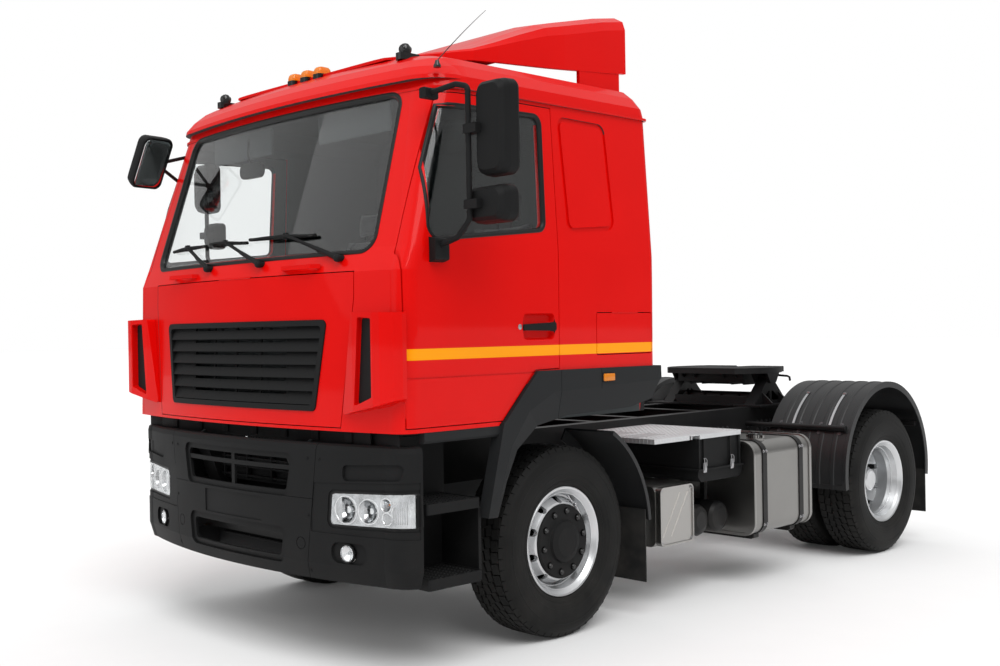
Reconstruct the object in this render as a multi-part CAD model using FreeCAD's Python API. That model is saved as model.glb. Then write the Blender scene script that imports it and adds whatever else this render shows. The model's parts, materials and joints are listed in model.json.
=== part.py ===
"""Two-axle semi truck tractor unit with a tilting sleeper cab, millimetres.

The front of the truck faces -Y, its left side is +X and the ground is Z = 0.
Inside this file every Y is measured from the front axle; the pieces are moved
to the middle of the truck's length when they are written.
"""
import FreeCAD, Part
import math
import os

V = FreeCAD.Vector

# ------------------------------------------------------------------ driving dimensions
WHEELBASE = 3550.0
FRONT_END = -1440.0          # foremost point, on the kerb mirror

TYRE_R = 531.0
TYRE_W = 314.0
RIM_R = 285.75               # bead seat of a 22.5 inch rim
RIM_LIP_R = 303.0
RIM_W = 254.0                # over the two flanges
FRONT_WHEEL_X = 1009.0       # centre plane of the front tyre
REAR_WHEEL_X = 1118.0        # centre plane of the outer rear tyre
DUAL_PITCH = 350.0           # between the centre planes of a twin pair
WHEEL_BORE = 140.0
DISC_T = 14.0                # wheel disc
DISC_FLAT_R = 212.0          # flat of the disc under the nuts
DISC_WELD_R = 251.0          # where the disc meets the rim's well
HAND_HOLES = 10
HAND_HOLE_R = 22.0
HAND_HOLE_AT = 230.0
HUB_FLANGE_R = 196.0
STUDS = 10
STUD_AT = 167.5              # a 335 mm bolt circle
NUT_POCKET_R = 20.0
COVER_R = 205.0              # cover over the front wheel's nuts
FRONT_HUB_FACE = 1118.0

KINGPIN_X = 880.0
STEER_GAP = 6.0              # between the axle fist and the knuckle's ears
FRONT_SPRING_SEAT = 505.0    # top of the front axle beam under its springs

FRAME_HALF = 430.0           # outer face of a frame rail's web
FRAME_TOP = 1080.0
RAIL_H = 270.0
RAIL_FLANGE = 80.0
RAIL_T = 8.0
SHAFT_Z = 850.0              # gearbox outlet
SHAFT_R = 55.0
RAIL_FRONT = -1180.0
REAR_OVERHANG = 630.0        # rails behind the rear axle
RAIL_REAR = WHEELBASE + REAR_OVERHANG

CAB_HALF = 1250.0
CAB_FLOOR = 1215.0
BELT_Z = 2120.0              # the sides lean in above this
ROOF_Z = 2915.0
CAB_BACK = 735.0
WALL = 45.0                  # doors and side walls, inner skin to outer skin
FLOOR_T = 50.0
BOW_R = 5950.0               # plan radius of the cab's nose
PANEL_GAP = 5.0              # seam round doors, flap and hatches
SEAL = 0.3                   # round glass and lenses in their openings
GLASS_T = 6.0
GLASS_INSET = 14.0           # outer skin to the glass

HINGE_R = 2.2                # pins in the seams of doors, flap and hatches
HINGE_X = 1226.0
FLAP_HINGE_Y = -1380.5
ARCH_FRONT = (-333.0, 1486.0)  # top edge of the wheel-arch flares
ARCH_REAR = (CAB_BACK + 18, 1483.0)
FLARE_X = 1262.0             # outer face of the flares
FLARE_T = 12.0
RELIEF = 5.0                 # depth of the window band and the pressed lines
GUTTER_OUT = 14.0

POST_X0 = 370.0              # cab pivot posts on the frame's front ends
POST_X1 = 490.0
TILT_Y = -1308.0             # cab tilt pivot
TILT_Z = 1100.0
PIVOT_R = 20.0
PIN_CLEAR = 0.5

DOOR_FRONT = -1245.0
DOOR_REAR = -145.0
DOOR_INNER_X = 1150.0        # inner face of the door near its front edge

FLAP_TOP = 2003.0
FLAP_BOTTOM = 1235.0
FLAP_TOP_HALF = 930.0
FLAP_BOTTOM_HALF = 846.0

GRILLE_TOP = 1771.0
GRILLE_BOTTOM = 1309.0
GRILLE_TOP_HALF = 752.0
GRILLE_BOTTOM_HALF = 675.0
LOUVRES = 6

BEAM_BACK = -1210.0          # rear face of the beam behind the bumper
BUMPER_TOP = 1150.0
BUMPER_BOTTOM = 460.0
BUMPER_NOSE = -1425.0
BUMPER_BACK = -1157.0
BUMPER_T = 32.0
BUMPER_LEDGE_X = 1150.0      # the top ledge is open behind the wall inside this
BUMPER_BOW = 4000.0
LAMP_LENS_T = 4.0
LAMP_DEPTH = 95.0
INTAKE_BAR_Z = 1013.0        # middle of the bar across the upper intake

TANK_FRONT = 1800.0
TANK_REAR = 2530.0
TANK_TOP = 950.0
TANK_BOTTOM = 330.0
TANK_OUT = 1225.0
TANK_IN = 560.0

BATTERY_BOTTOM = 730.0
BATTERY_FRONT = 1284.0
BATTERY_REAR = 1770.0
BATTERY_OUT = 1150.0
SILENCER_FRONT = 880.0
SILENCER_REAR = 1235.0
SILENCER_TOP = 740.0
SILENCER_BOTTOM = 372.0
SILENCER_IN = 560.0
CATWALK_Z = 1000.0
CATWALK_T = 30.0

FENDER_X0 = 620.0
FENDER_X1 = 1262.0
FENDER_R = 661.0
FENDER_T = 12.0
FENDER_DY = 45.0             # centre of the fender behind the rear axle
FENDER_Z = 610.0
FENDER_RIB = 5.0
FENDER_RIBS = 5
FENDER_BAR_R = 20.0

PLATE_AHEAD = 170.0          # kingpin bore ahead of the rear axle
PLATE_Y = WHEELBASE - PLATE_AHEAD
PLATE_TOP = 1375.0
PLATE_R = 450.0
PLATE_TAIL = 450.0           # bore to the ends of the two ramps
KING_R = 25.7                # bore for a 50.8 mm kingpin
PLATE_T = 45.0
PLATE_PIVOT_Z = 1290.0
PLATE_PIN_R = 25.0

ORIGIN_Y = (FRONT_END + WHEELBASE + FENDER_DY + FENDER_R) / 2.0

parts = {}


# ------------------------------------------------------------------ small helpers
def keep(name, *solids):
    """Adds solids to a node of that name."""
    parts.setdefault(name, []).extend(solids)


def mirrored(shape):
    """The same shape on the other side of the truck."""
    return shape.mirror(V(0, 0, 0), V(1, 0, 0))


def both(shape):
    """A shape on the left and its mirror image on the right."""
    return [shape, mirrored(shape)]


def box(x0, x1, y0, y1, z0, z1):
    """An axis-aligned block between two corners."""
    return Part.makeBox(x1 - x0, y1 - y0, z1 - z0, V(x0, y0, z0))


def face_of(points, grow=0.0, radius=0.0):
    """A polygon's face, grown outwards and with its corners rounded where asked."""
    wire = Part.makePolygon(points + [points[0]])
    face = Part.Face(wire)
    if grow:
        face = Part.Face(face.makeOffset2D(grow, 2).Wires[0]) if grow > 0 else face.makeOffset2D(grow, 2)
    if radius:
        face = Part.Face(rounded(face.OuterWire, radius))
    return face


def rounded(wire, radius):
    """A closed polygon's wire with every corner turned into an arc."""
    points = [v.Point for v in wire.OrderedVertexes]
    edges = []
    starts = []
    count = len(points)
    for i in range(count):
        p, before, after = points[i], points[i - 1], points[(i + 1) % count]
        a = (before - p).normalize()
        b = (after - p).normalize()
        half = a.getAngle(b) / 2.0
        reach = radius / math.tan(half)
        middle = (a + b).normalize() * (radius / math.sin(half) - radius)
        starts.append((p + a * reach, p + middle, p + b * reach))
    for i in range(count):
        first, mid, last = starts[i]
        edges.append(Part.Arc(first, mid, last).toShape())
        edges.append(Part.makeLine(last, starts[(i + 1) % count][0]))
    return Part.Wire(edges)


def prism_x(points, x0, x1, grow=0.0, radius=0.0):
    """An outline of (y, z) points drawn out along X."""
    return face_of([V(x0, y, z) for y, z in points], grow, radius).extrude(V(x1 - x0, 0, 0))


def prism_y(points, y0, y1, grow=0.0, radius=0.0):
    """An outline of (x, z) points drawn out along Y."""
    return face_of([V(x, y0, z) for x, z in points], grow, radius).extrude(V(0, y1 - y0, 0))


def prism_z(points, z0, z1, grow=0.0, radius=0.0):
    """An outline of (x, y) points drawn out along Z."""
    return face_of([V(x, y, z0) for x, y in points], grow, radius).extrude(V(0, 0, z1 - z0))


def rod(start, end, radius):
    """A round bar between two points."""
    way = V(*end) - V(*start)
    return Part.makeCylinder(radius, way.Length, V(*start), way)


def ring_x(profile, y, z):
    """A profile of (x, r) points turned about the axle line at (y, z)."""
    face = Part.Face(Part.makePolygon([V(x, y, z + r) for x, r in profile + [profile[0]]]))
    return face.revolve(V(0, y, z), V(1, 0, 0), 360)


def bent_bar(points, radius, bend):
    """A round bar along straight runs joined by arcs of one radius."""
    vectors = [V(*p) for p in points]
    edges = []
    start = vectors[0]
    for i in range(1, len(vectors) - 1):
        a = (vectors[i - 1] - vectors[i]).normalize()
        b = (vectors[i + 1] - vectors[i]).normalize()
        half = a.getAngle(b) / 2.0
        reach = bend / math.tan(half)
        first, last = vectors[i] + a * reach, vectors[i] + b * reach
        mid = vectors[i] + (a + b).normalize() * (bend / math.sin(half) - bend)
        edges.append(Part.makeLine(start, first))
        edges.append(Part.Arc(first, mid, last).toShape())
        start = last
    edges.append(Part.makeLine(start, vectors[-1]))
    circle = Part.Wire(Part.makeCircle(radius, vectors[0], vectors[1] - vectors[0]))
    return Part.Wire(edges).makePipeShell([circle], True, True)


def bowed(profile, nose, half, radius=BOW_R):
    """A (y, z) profile swept sideways along the bow of the nose, out to half on each side."""
    face = Part.Face(Part.makePolygon([V(0, y, z) for y, z in profile + [profile[0]]]))
    angle = math.degrees(math.asin(half / radius))
    axis_at = V(0, nose + radius, 0)
    face.rotate(axis_at, V(0, 0, 1), -angle)
    return face.revolve(axis_at, V(0, 0, 1), 2 * angle)


def shell_outline(z, half, nose, corner, back, back_r, bow_r, inset=0.0):
    """Plan outline of the cab or the bumper: bowed nose, round corners, straight sides."""
    half, corner, back, back_r = half - inset, corner - inset, back - inset, back_r - inset
    corner, back_r = max(corner, 12.0), max(back_r, 12.0)
    nose += inset
    edge_x = half - corner
    edge_y = nose + bow_r - math.sqrt(bow_r ** 2 - edge_x ** 2)
    lean = math.sqrt(0.5)
    side_y = edge_y + corner
    mid_x, mid_y = half - corner * (1 - lean), edge_y + corner * (1 - lean)
    rear_x, rear_y = half - back_r, back - back_r
    rear_mid = (half - back_r * (1 - lean), back - back_r * (1 - lean))

    def at(x, y):
        return V(x, y, z)

    return Part.Wire([
        Part.Arc(at(-edge_x, edge_y), at(0, nose), at(edge_x, edge_y)).toShape(),
        Part.Arc(at(edge_x, edge_y), at(mid_x, mid_y), at(half, side_y)).toShape(),
        Part.makeLine(at(half, side_y), at(half, rear_y)),
        Part.Arc(at(half, rear_y), at(*rear_mid), at(rear_x, back)).toShape(),
        Part.makeLine(at(rear_x, back), at(-rear_x, back)),
        Part.Arc(at(-rear_x, back), at(-rear_mid[0], rear_mid[1]), at(-half, rear_y)).toShape(),
        Part.makeLine(at(-half, rear_y), at(-half, side_y)),
        Part.Arc(at(-half, side_y), at(-mid_x, mid_y), at(-edge_x, edge_y)).toShape(),
    ])


def lofted(table, inset=0.0, bow_r=BOW_R):
    """A solid through the plan outlines of a table of sections."""
    wires = [shell_outline(z, half, nose, corner, back, back_r, bow_r, inset)
             for z, half, nose, corner, back, back_r in table]
    return Part.makeLoft(wires, True, True)


# ------------------------------------------------------------------ wheels and axles
def tyre(x):
    """A tyre on its centre plane x, with a flat tread and round shoulders."""
    w, r = TYRE_W / 2.0, TYRE_R
    bead = RIM_W / 2 - 14
    profile = [(-bead, RIM_R), (-bead, RIM_LIP_R + 4), (-w + 6, RIM_R + 60), (-w, RIM_R + 130),
               (-w + 14, r - 40),
               (-w + 34, r - 6), (-w + 60, r), (w - 60, r), (w - 34, r - 6), (w - 14, r - 40),
               (w, RIM_R + 130), (w - 6, RIM_R + 60), (bead, RIM_LIP_R + 4), (bead, RIM_R)]
    return [(x + px, pr) for px, pr in profile]


def rim_profile(x):
    """A steel rim with its flanges, bead seats and drop centre."""
    w = RIM_W / 2.0
    outer = [(-w, RIM_LIP_R), (-w + 12, RIM_LIP_R), (-w + 14, RIM_R), (-30, RIM_R - 30), (30, RIM_R - 30),
             (w - 14, RIM_R), (w - 12, RIM_LIP_R), (w, RIM_LIP_R)]
    inner = [(w + 3, RIM_LIP_R - 4), (w, RIM_R + 4), (w - 12, RIM_R - 9), (w - 26, RIM_R - 22),
             (36, RIM_R - 44),
             (-36, RIM_R - 44), (-w + 24, RIM_R - 22), (-w, RIM_R - 8)]
    return [(x + px, pr) for px, pr in outer + inner]


def disc(face, well, side):
    """A dished wheel disc from its hub face at x = face out to the rim's well; side is its face."""
    t = side * DISC_T
    shoulder = side * 6
    return [(face, WHEEL_BORE), (face, DISC_FLAT_R - 6), (face - shoulder, DISC_FLAT_R + 4),
            (well, DISC_WELD_R), (well - 1.3 * t, DISC_WELD_R), (face - shoulder - 1.5 * t, DISC_FLAT_R - 2),
            (face - t, DISC_FLAT_R - 14), (face - t, WHEEL_BORE)]


def ring_of(count, radius, at, x0, x1, y, z, turn=0.0):
    """Round bars along X, evenly spaced on a circle about (y, z)."""
    bars = []
    for i in range(count):
        a = math.radians(turn + 360.0 * i / count)
        cy, cz = y + at * math.cos(a), z + at * math.sin(a)
        bars.append(rod((x0, cy, cz), (x1, cy, cz), radius))
    return Part.makeCompound(bars)


def front_wheels():
    """Front tyres and rims; the disc stands proud towards the outside under a cover for its nuts."""
    face, well = FRONT_HUB_FACE, FRONT_WHEEL_X + 38.0
    rubber = ring_x(tyre(FRONT_WHEEL_X), 0, TYRE_R)
    rim = ring_x(rim_profile(FRONT_WHEEL_X), 0, TYRE_R)
    rim = rim.fuse(ring_x(disc(face, well, 1), 0, TYRE_R))
    rim = rim.cut(ring_of(HAND_HOLES, HAND_HOLE_R, HAND_HOLE_AT, well + 2, face + 20, 0, TYRE_R, 18))
    cover = face + 0.3
    hub = ring_x([(1020, 0), (1020, 130), (cover, 130), (cover, COVER_R), (cover + 9, COVER_R),
                  (cover + 16, COVER_R - 9),
                  (cover + 16, 124), (cover + 19, 118), (cover + 34, 112), (cover + 41, 92),
                  (cover + 46, 78),
                  (cover + 46, 0)], 0, TYRE_R)
    hub = hub.cut(ring_of(STUDS, NUT_POCKET_R, STUD_AT, cover + 10, cover + 20, 0, TYRE_R, 9))
    keep("front_tyre_left", rubber)
    keep("front_tyre_right", mirrored(rubber))
    keep("front_wheel_left", rim, hub)
    keep("front_wheel_right", mirrored(rim), mirrored(hub))


def rear_wheels():
    """Twin rear wheels: two tyres and two dished rims on each side, bolted to one hub."""
    y = WHEELBASE
    mount_x = REAR_WHEEL_X - DUAL_PITCH / 2.0
    inner_x = REAR_WHEEL_X - DUAL_PITCH
    well = 38.0
    tyres = [ring_x(tyre(x), y, TYRE_R) for x in (REAR_WHEEL_X, inner_x)]
    outer_rim = ring_x(rim_profile(REAR_WHEEL_X), y, TYRE_R)
    outer_disc = ring_x(disc(mount_x + 0.1, REAR_WHEEL_X - well, -1), y, TYRE_R)
    inner_rim = ring_x(rim_profile(inner_x), y, TYRE_R)
    inner_disc = ring_x(disc(mount_x - 0.1, inner_x + well, 1), y, TYRE_R)
    holes = ring_of(HAND_HOLES, HAND_HOLE_R, HAND_HOLE_AT, inner_x + well + 2, REAR_WHEEL_X - well - 2, y,
                    TYRE_R, 18)
    rims = [outer_rim.fuse(outer_disc).cut(holes), inner_rim.fuse(inner_disc).cut(holes)]
    seat = mount_x - DISC_T - 0.4
    bore = WHEEL_BORE - SEAL
    hub = ring_x([(mount_x - 60, 0), (mount_x - 60, 130), (seat - 25, HUB_FLANGE_R), (seat, HUB_FLANGE_R),
                  (seat, bore),
                  (mount_x + 40, bore), (mount_x + 48, 122), (mount_x + 52, 104), (mount_x + 150, 100),
                  (mount_x + 158, 84), (mount_x + 196, 80), (mount_x + 205, 66), (mount_x + 205, 0)], y,
                 TYRE_R)
    for side, turn in (("left", lambda s: s), ("right", mirrored)):
        keep("rear_tyres_" + side, *[turn(t) for t in tyres])
        keep("rear_wheels_" + side, *[turn(r) for r in rims + [hub]])


def front_axle():
    """Dropped forged beam between two fists, with a steering knuckle on each kingpin."""
    low, pad = 385.0, FRONT_SPRING_SEAT
    half = [(800, 490), (800, 572), (610, 572), (530, pad), (360, pad), (300, low + 95)]
    under = [(300, low), (540, low), (640, 490)]
    outline = ([(-x, z) for x, z in half] + [(x, z) for x, z in reversed(half)]
               + [(x, z) for x, z in reversed(under)] + [(-x, z) for x, z in under])
    beam = prism_y(outline, -45, 45)
    fist = Part.makeCylinder(52, 110, V(KINGPIN_X, 0, TYRE_R - 55))
    arm = box(780, KINGPIN_X, -40, 40, TYRE_R - 40, TYRE_R + 40)
    fists = both(fist.fuse(arm))
    bore = both(Part.makeCylinder(22, 200, V(KINGPIN_X, 0, TYRE_R - 100)))
    beam = beam.fuse(fists).cut(Part.makeCompound(bore)).removeSplitter()
    keep("front_axle", beam)

    gap = STEER_GAP
    pin = Part.makeCylinder(21.7, 230, V(KINGPIN_X, 0, TYRE_R - 115))
    ears = [Part.makeCylinder(50, 45, V(KINGPIN_X, 0, TYRE_R + 55 + gap)),
            Part.makeCylinder(50, 45, V(KINGPIN_X, 0, TYRE_R - 55 - gap - 45))]
    back = box(KINGPIN_X + 60, KINGPIN_X + 85, -50, 50, TYRE_R - 106, TYRE_R + 106)
    links = [box(KINGPIN_X, KINGPIN_X + 85, -45, 45, TYRE_R + 55 + gap, TYRE_R + 106),
             box(KINGPIN_X, KINGPIN_X + 85, -45, 45, TYRE_R - 106, TYRE_R - 55 - gap)]
    flange = Part.makeCylinder(120, 20, V(KINGPIN_X + 70, 0, TYRE_R), V(1, 0, 0))
    stub = Part.makeCylinder(60, 49.5, V(KINGPIN_X + 90, 0, TYRE_R), V(1, 0, 0))
    steer_arm = prism_z([(KINGPIN_X - 30, 20), (KINGPIN_X + 30, 20), (KINGPIN_X - 60, 210),
                         (KINGPIN_X - 110, 210)],
                        TYRE_R - 106, TYRE_R - 76)
    knuckle = pin.fuse(ears + links + [back, flange, stub, steer_arm]).removeSplitter()
    keep("knuckle_left", knuckle)
    keep("knuckle_right", mirrored(knuckle))


def rear_axle():
    """Banjo housing with its differential bowl and two tubes out to the hubs."""
    mount_x = REAR_WHEEL_X - DUAL_PITCH / 2.0
    y, z = WHEELBASE, TYRE_R
    tube = rod((-mount_x + 60.3, y, z), (mount_x - 60.3, y, z), 68)
    bowl = Part.makeSphere(215, V(0, y, z))
    bowl = bowl.common(box(-170, 170, y - 220, y + 220, z - 220, z + 220))
    nose = Part.makeCone(110, 80, 200, V(0, y - 180, z), V(0, -1, 0))
    spring_seats = [box(x - 50, x + 50, y - 90, y + 90, z + 40, z + 90) for x in (-445, 445)]
    drums = both(rod((520, y, z), (600, y, z), 190))
    keep("rear_axle", tube.fuse([bowl, nose] + spring_seats + drums).removeSplitter())


def springs():
    """Two-leaf springs under the rails at each axle, with a hanger at each end."""
    rail_bottom = FRAME_TOP - RAIL_H
    for y, seat, half_len, rise in ((0.0, FRONT_SPRING_SEAT, 750.0, 170.0), (WHEELBASE, TYRE_R + 90.0, 585.0,
                                                                             120.0)):
        for side in (-1, 1):
            x0, x1 = (side * 445 - 40, side * 445 + 40)
            low = [V(x0, y - half_len, seat + rise), V(x0, y, seat), V(x0, y + half_len, seat + rise)]
            top = [p + V(0, 0, 40) for p in low]
            wire = Part.Wire([Part.Arc(*low).toShape(), Part.makeLine(low[2], top[2]),
                              Part.Arc(top[2], top[1], top[0]).toShape(), Part.makeLine(top[0], low[0])])
            leaf = Part.Face(wire).extrude(V(x1 - x0, 0, 0))
            hangers = [box(x0, x1, y + d - 30, y + d + 30, seat + rise - 20, rail_bottom)
                       for d in (-half_len, half_len)]
            clamp = box(x0 - 8, x1 + 8, y - 70, y + 70, seat + 40, seat + 64)
            keep("leaf_springs", leaf.fuse(hangers + [clamp]).removeSplitter())


# ------------------------------------------------------------------ frame
def rail_solid(x_web):
    """One C-section rail, open towards the middle of the truck."""
    top, low = FRAME_TOP, FRAME_TOP - RAIL_H
    outer = box(x_web - RAIL_FLANGE, x_web, RAIL_FRONT, RAIL_REAR, low, top)
    inner = box(x_web - RAIL_FLANGE - 1, x_web - RAIL_T, RAIL_FRONT - 1, RAIL_REAR + 1, low + RAIL_T,
                top - RAIL_T)
    return outer.cut(inner)


def frame():
    """Ladder frame: two rails and their cross members."""
    rail = rail_solid(FRAME_HALF)
    keep("frame_rails", rail, mirrored(rail))
    web = FRAME_HALF - RAIL_T
    low, top = FRAME_TOP - RAIL_H + RAIL_T, FRAME_TOP - RAIL_T
    high = SHAFT_Z + SHAFT_R + 12
    for y, low in ((-1120.0, low), (1320.0, high), (1800.0, high), (WHEELBASE - 950, high),
                   (WHEELBASE - 350, low),
                   (WHEELBASE + 350, low), (RAIL_REAR - 120, low)):
        member = box(-web, web, y - 40, y + 40, low, top)
        member = member.cut(box(-web - 1, web + 1, y - 41, y + 34, low + 6, top - 6))
        keep("crossmembers", member)


def tail():
    """Closing plate across the rails' rear ends, with a lamp cluster on each side."""
    keep("crossmembers", box(-608, 608, RAIL_REAR, RAIL_REAR + 14, 850, 1030))
    lamp = box(310, 600, RAIL_REAR + 14, RAIL_REAR + 70, 870, 1010)
    keep("tail_lamps", lamp, mirrored(lamp))


def fifth_wheel():
    """Coupling plate on its rocking pins over a pedestal on the rails."""
    floor = FRAME_TOP
    z0 = floor + 12
    base = prism_z([(-520, PLATE_Y - 330), (-300, PLATE_Y - 330), (-250, PLATE_Y - 270),
                    (250, PLATE_Y - 270),
                    (300, PLATE_Y - 330), (520, PLATE_Y - 330), (520, PLATE_Y + 330), (300, PLATE_Y + 330),
                    (250, PLATE_Y + 270), (-250, PLATE_Y + 270), (-300, PLATE_Y + 330),
                    (-520, PLATE_Y + 330)],
                   floor, z0)
    boss = PLATE_TOP - PLATE_T - PLATE_PIVOT_Z - PANEL_GAP
    cheek_out = 420.0
    cheek_in = 330.0
    cheeks = []
    for x0, x1 in ((cheek_in, cheek_out), (-cheek_out, -cheek_in)):
        cheek = prism_x([(PLATE_Y - 240, z0), (PLATE_Y + 240, z0), (PLATE_Y + boss, PLATE_PIVOT_Z),
                         (PLATE_Y - boss, PLATE_PIVOT_Z)], x0, x1)
        hollow = prism_x([(PLATE_Y - 170, z0 + 22), (PLATE_Y + 170, z0 + 22),
                          (PLATE_Y + 34, PLATE_PIVOT_Z - 62),
                          (PLATE_Y - 34, PLATE_PIVOT_Z - 62)], x0 + 14, x1 - 14)
        side_cut = prism_x([(PLATE_Y - 150, z0 + 22), (PLATE_Y - 14, z0 + 22),
                            (PLATE_Y - 14, PLATE_PIVOT_Z - 90)],
                           x0 - 1, x1 + 1, 0, 10)
        other_cut = prism_x([(PLATE_Y + 14, z0 + 22), (PLATE_Y + 150, z0 + 22),
                             (PLATE_Y + 14, PLATE_PIVOT_Z - 90)],
                            x0 - 1, x1 + 1, 0, 10)
        cheek = cheek.cut([hollow, side_cut, other_cut])
        cheek = cheek.fuse(rod((x0, PLATE_Y, PLATE_PIVOT_Z), (x1, PLATE_Y, PLATE_PIVOT_Z), boss))
        cheek = cheek.cut(rod((x0 - 1, PLATE_Y, PLATE_PIVOT_Z), (x1 + 1, PLATE_Y, PLATE_PIVOT_Z),
                              PLATE_PIN_R))
        cheeks.append(cheek)
    ties = [box(-cheek_in - 1, cheek_in + 1, y - 8, y + 8, z0 - 1, z0 + 60) for y in (PLATE_Y - 200,
                                                                                      PLATE_Y + 200)]
    outriggers = []
    for y in (PLATE_Y - 120, PLATE_Y + 120):
        rib = prism_y([(cheek_out - 1, z0 - 1), (505, z0 - 1), (505, z0 + 10), (cheek_out - 1, z0 + 90)],
                      y - 7, y + 7)
        outriggers += both(rib)
    keep("fifth_wheel_base", base.fuse(cheeks + ties + outriggers).removeSplitter())

    low = PLATE_TOP - PLATE_T
    front, back = PLATE_Y - 330, PLATE_Y + PLATE_TAIL
    plate = Part.makeCylinder(PLATE_R, PLATE_T, V(0, PLATE_Y, low))
    plate = plate.common(box(-PLATE_R, PLATE_R, front, PLATE_Y + PLATE_R, 0, 3000))
    tail = prism_z([(-440, PLATE_Y), (440, PLATE_Y), (345, back - 120), (190, back), (-190, back),
                    (-345, back - 120)], low, PLATE_TOP)
    plate = plate.fuse(tail)
    # the casting is a web with a rim round it, ribs across it and a jaw housing about the bore
    web = 16.0
    pocket = Part.makeCylinder(PLATE_R - 26, PLATE_T, V(0, PLATE_Y, low - web))
    pocket = pocket.common(box(-PLATE_R, PLATE_R, front + 26, PLATE_Y + 330, 0, 3000))
    jaw = box(-170, 170, PLATE_Y - 150, back - 80, 0, 3000)
    rib_x = [box(-PLATE_R, PLATE_R, y - 9, y + 9, 0, 3000) for y in (PLATE_Y - 190, PLATE_Y + 130)]
    rib_y = [box(x - 30, x + 60, front, back, 0, 3000) for x in (-405, 345)]
    plate = plate.cut(pocket.cut([jaw] + rib_x + rib_y))
    throat = prism_z([(-KING_R, PLATE_Y + 60), (KING_R, PLATE_Y + 60), (150, PLATE_Y + 600),
                      (-150, PLATE_Y + 600)], 0, 3000)
    plate = plate.cut(throat).cut(Part.makeCylinder(KING_R, 3000, V(0, PLATE_Y, 0)))
    ramp = prism_x([(back - 160, PLATE_TOP + 5), (back + 60, PLATE_TOP + 5), (back + 60, PLATE_TOP - 40)],
                   -500, 500)
    plate = plate.cut(ramp)
    lugs = []
    for x0, x1 in ((cheek_in - 30, cheek_in - 1), (cheek_out + 1, cheek_out + 25)):
        lug = prism_x([(PLATE_Y - 90, low + 1), (PLATE_Y + 90, low + 1),
                       (PLATE_Y + 40, PLATE_PIVOT_Z - 35), (PLATE_Y - 40, PLATE_PIVOT_Z - 35)], x0, x1)
        lugs += both(lug)
    pins = both(rod((cheek_in - 30, PLATE_Y, PLATE_PIVOT_Z), (cheek_out + 25, PLATE_Y, PLATE_PIVOT_Z),
                    PLATE_PIN_R - PIN_CLEAR))
    handle = bent_bar([(-300, PLATE_Y + 60, low - 14), (-470, PLATE_Y + 60, low - 14),
                       (-520, PLATE_Y + 60, low - 40)],
                      8, 20)
    jaw_case = box(-150, 150, PLATE_Y - 110, PLATE_Y + 330, low - 34, low + 1).cut(
        [throat, Part.makeCylinder(KING_R, 3000, V(0, PLATE_Y, 0))])
    keep("fifth_wheel_plate", plate.fuse(lugs + pins + [jaw_case, handle]).removeSplitter())


# ------------------------------------------------------------------ chassis equipment
def engine():
    """Engine as one block, and the gearbox with the propeller shaft behind it."""
    block = prism_y([(-330, 900), (-200, 560), (200, 560), (330, 900), (330, 1240), (250, 1390),
                     (-250, 1390),
                     (-330, 1240)], -520, 600)
    keep("engine_block", block)
    box_y1 = 1250.0
    gearbox = Part.makeCone(240, 170, box_y1 - 600, V(0, 600, SHAFT_Z), V(0, 1, 0))
    nose_y = WHEELBASE - 380.0
    lean = math.atan2(SHAFT_Z - TYRE_R, nose_y - box_y1)
    shaft = rod((0, box_y1, SHAFT_Z), (0, nose_y - SHAFT_R * math.sin(lean) - 0.3, TYRE_R), SHAFT_R)
    keep("gearbox_and_shaft", gearbox.fuse(shaft).removeSplitter())
    core = box(-349.7, 349.7, -1070, -960, 530, 1180)
    keep("radiator", core)


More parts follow.
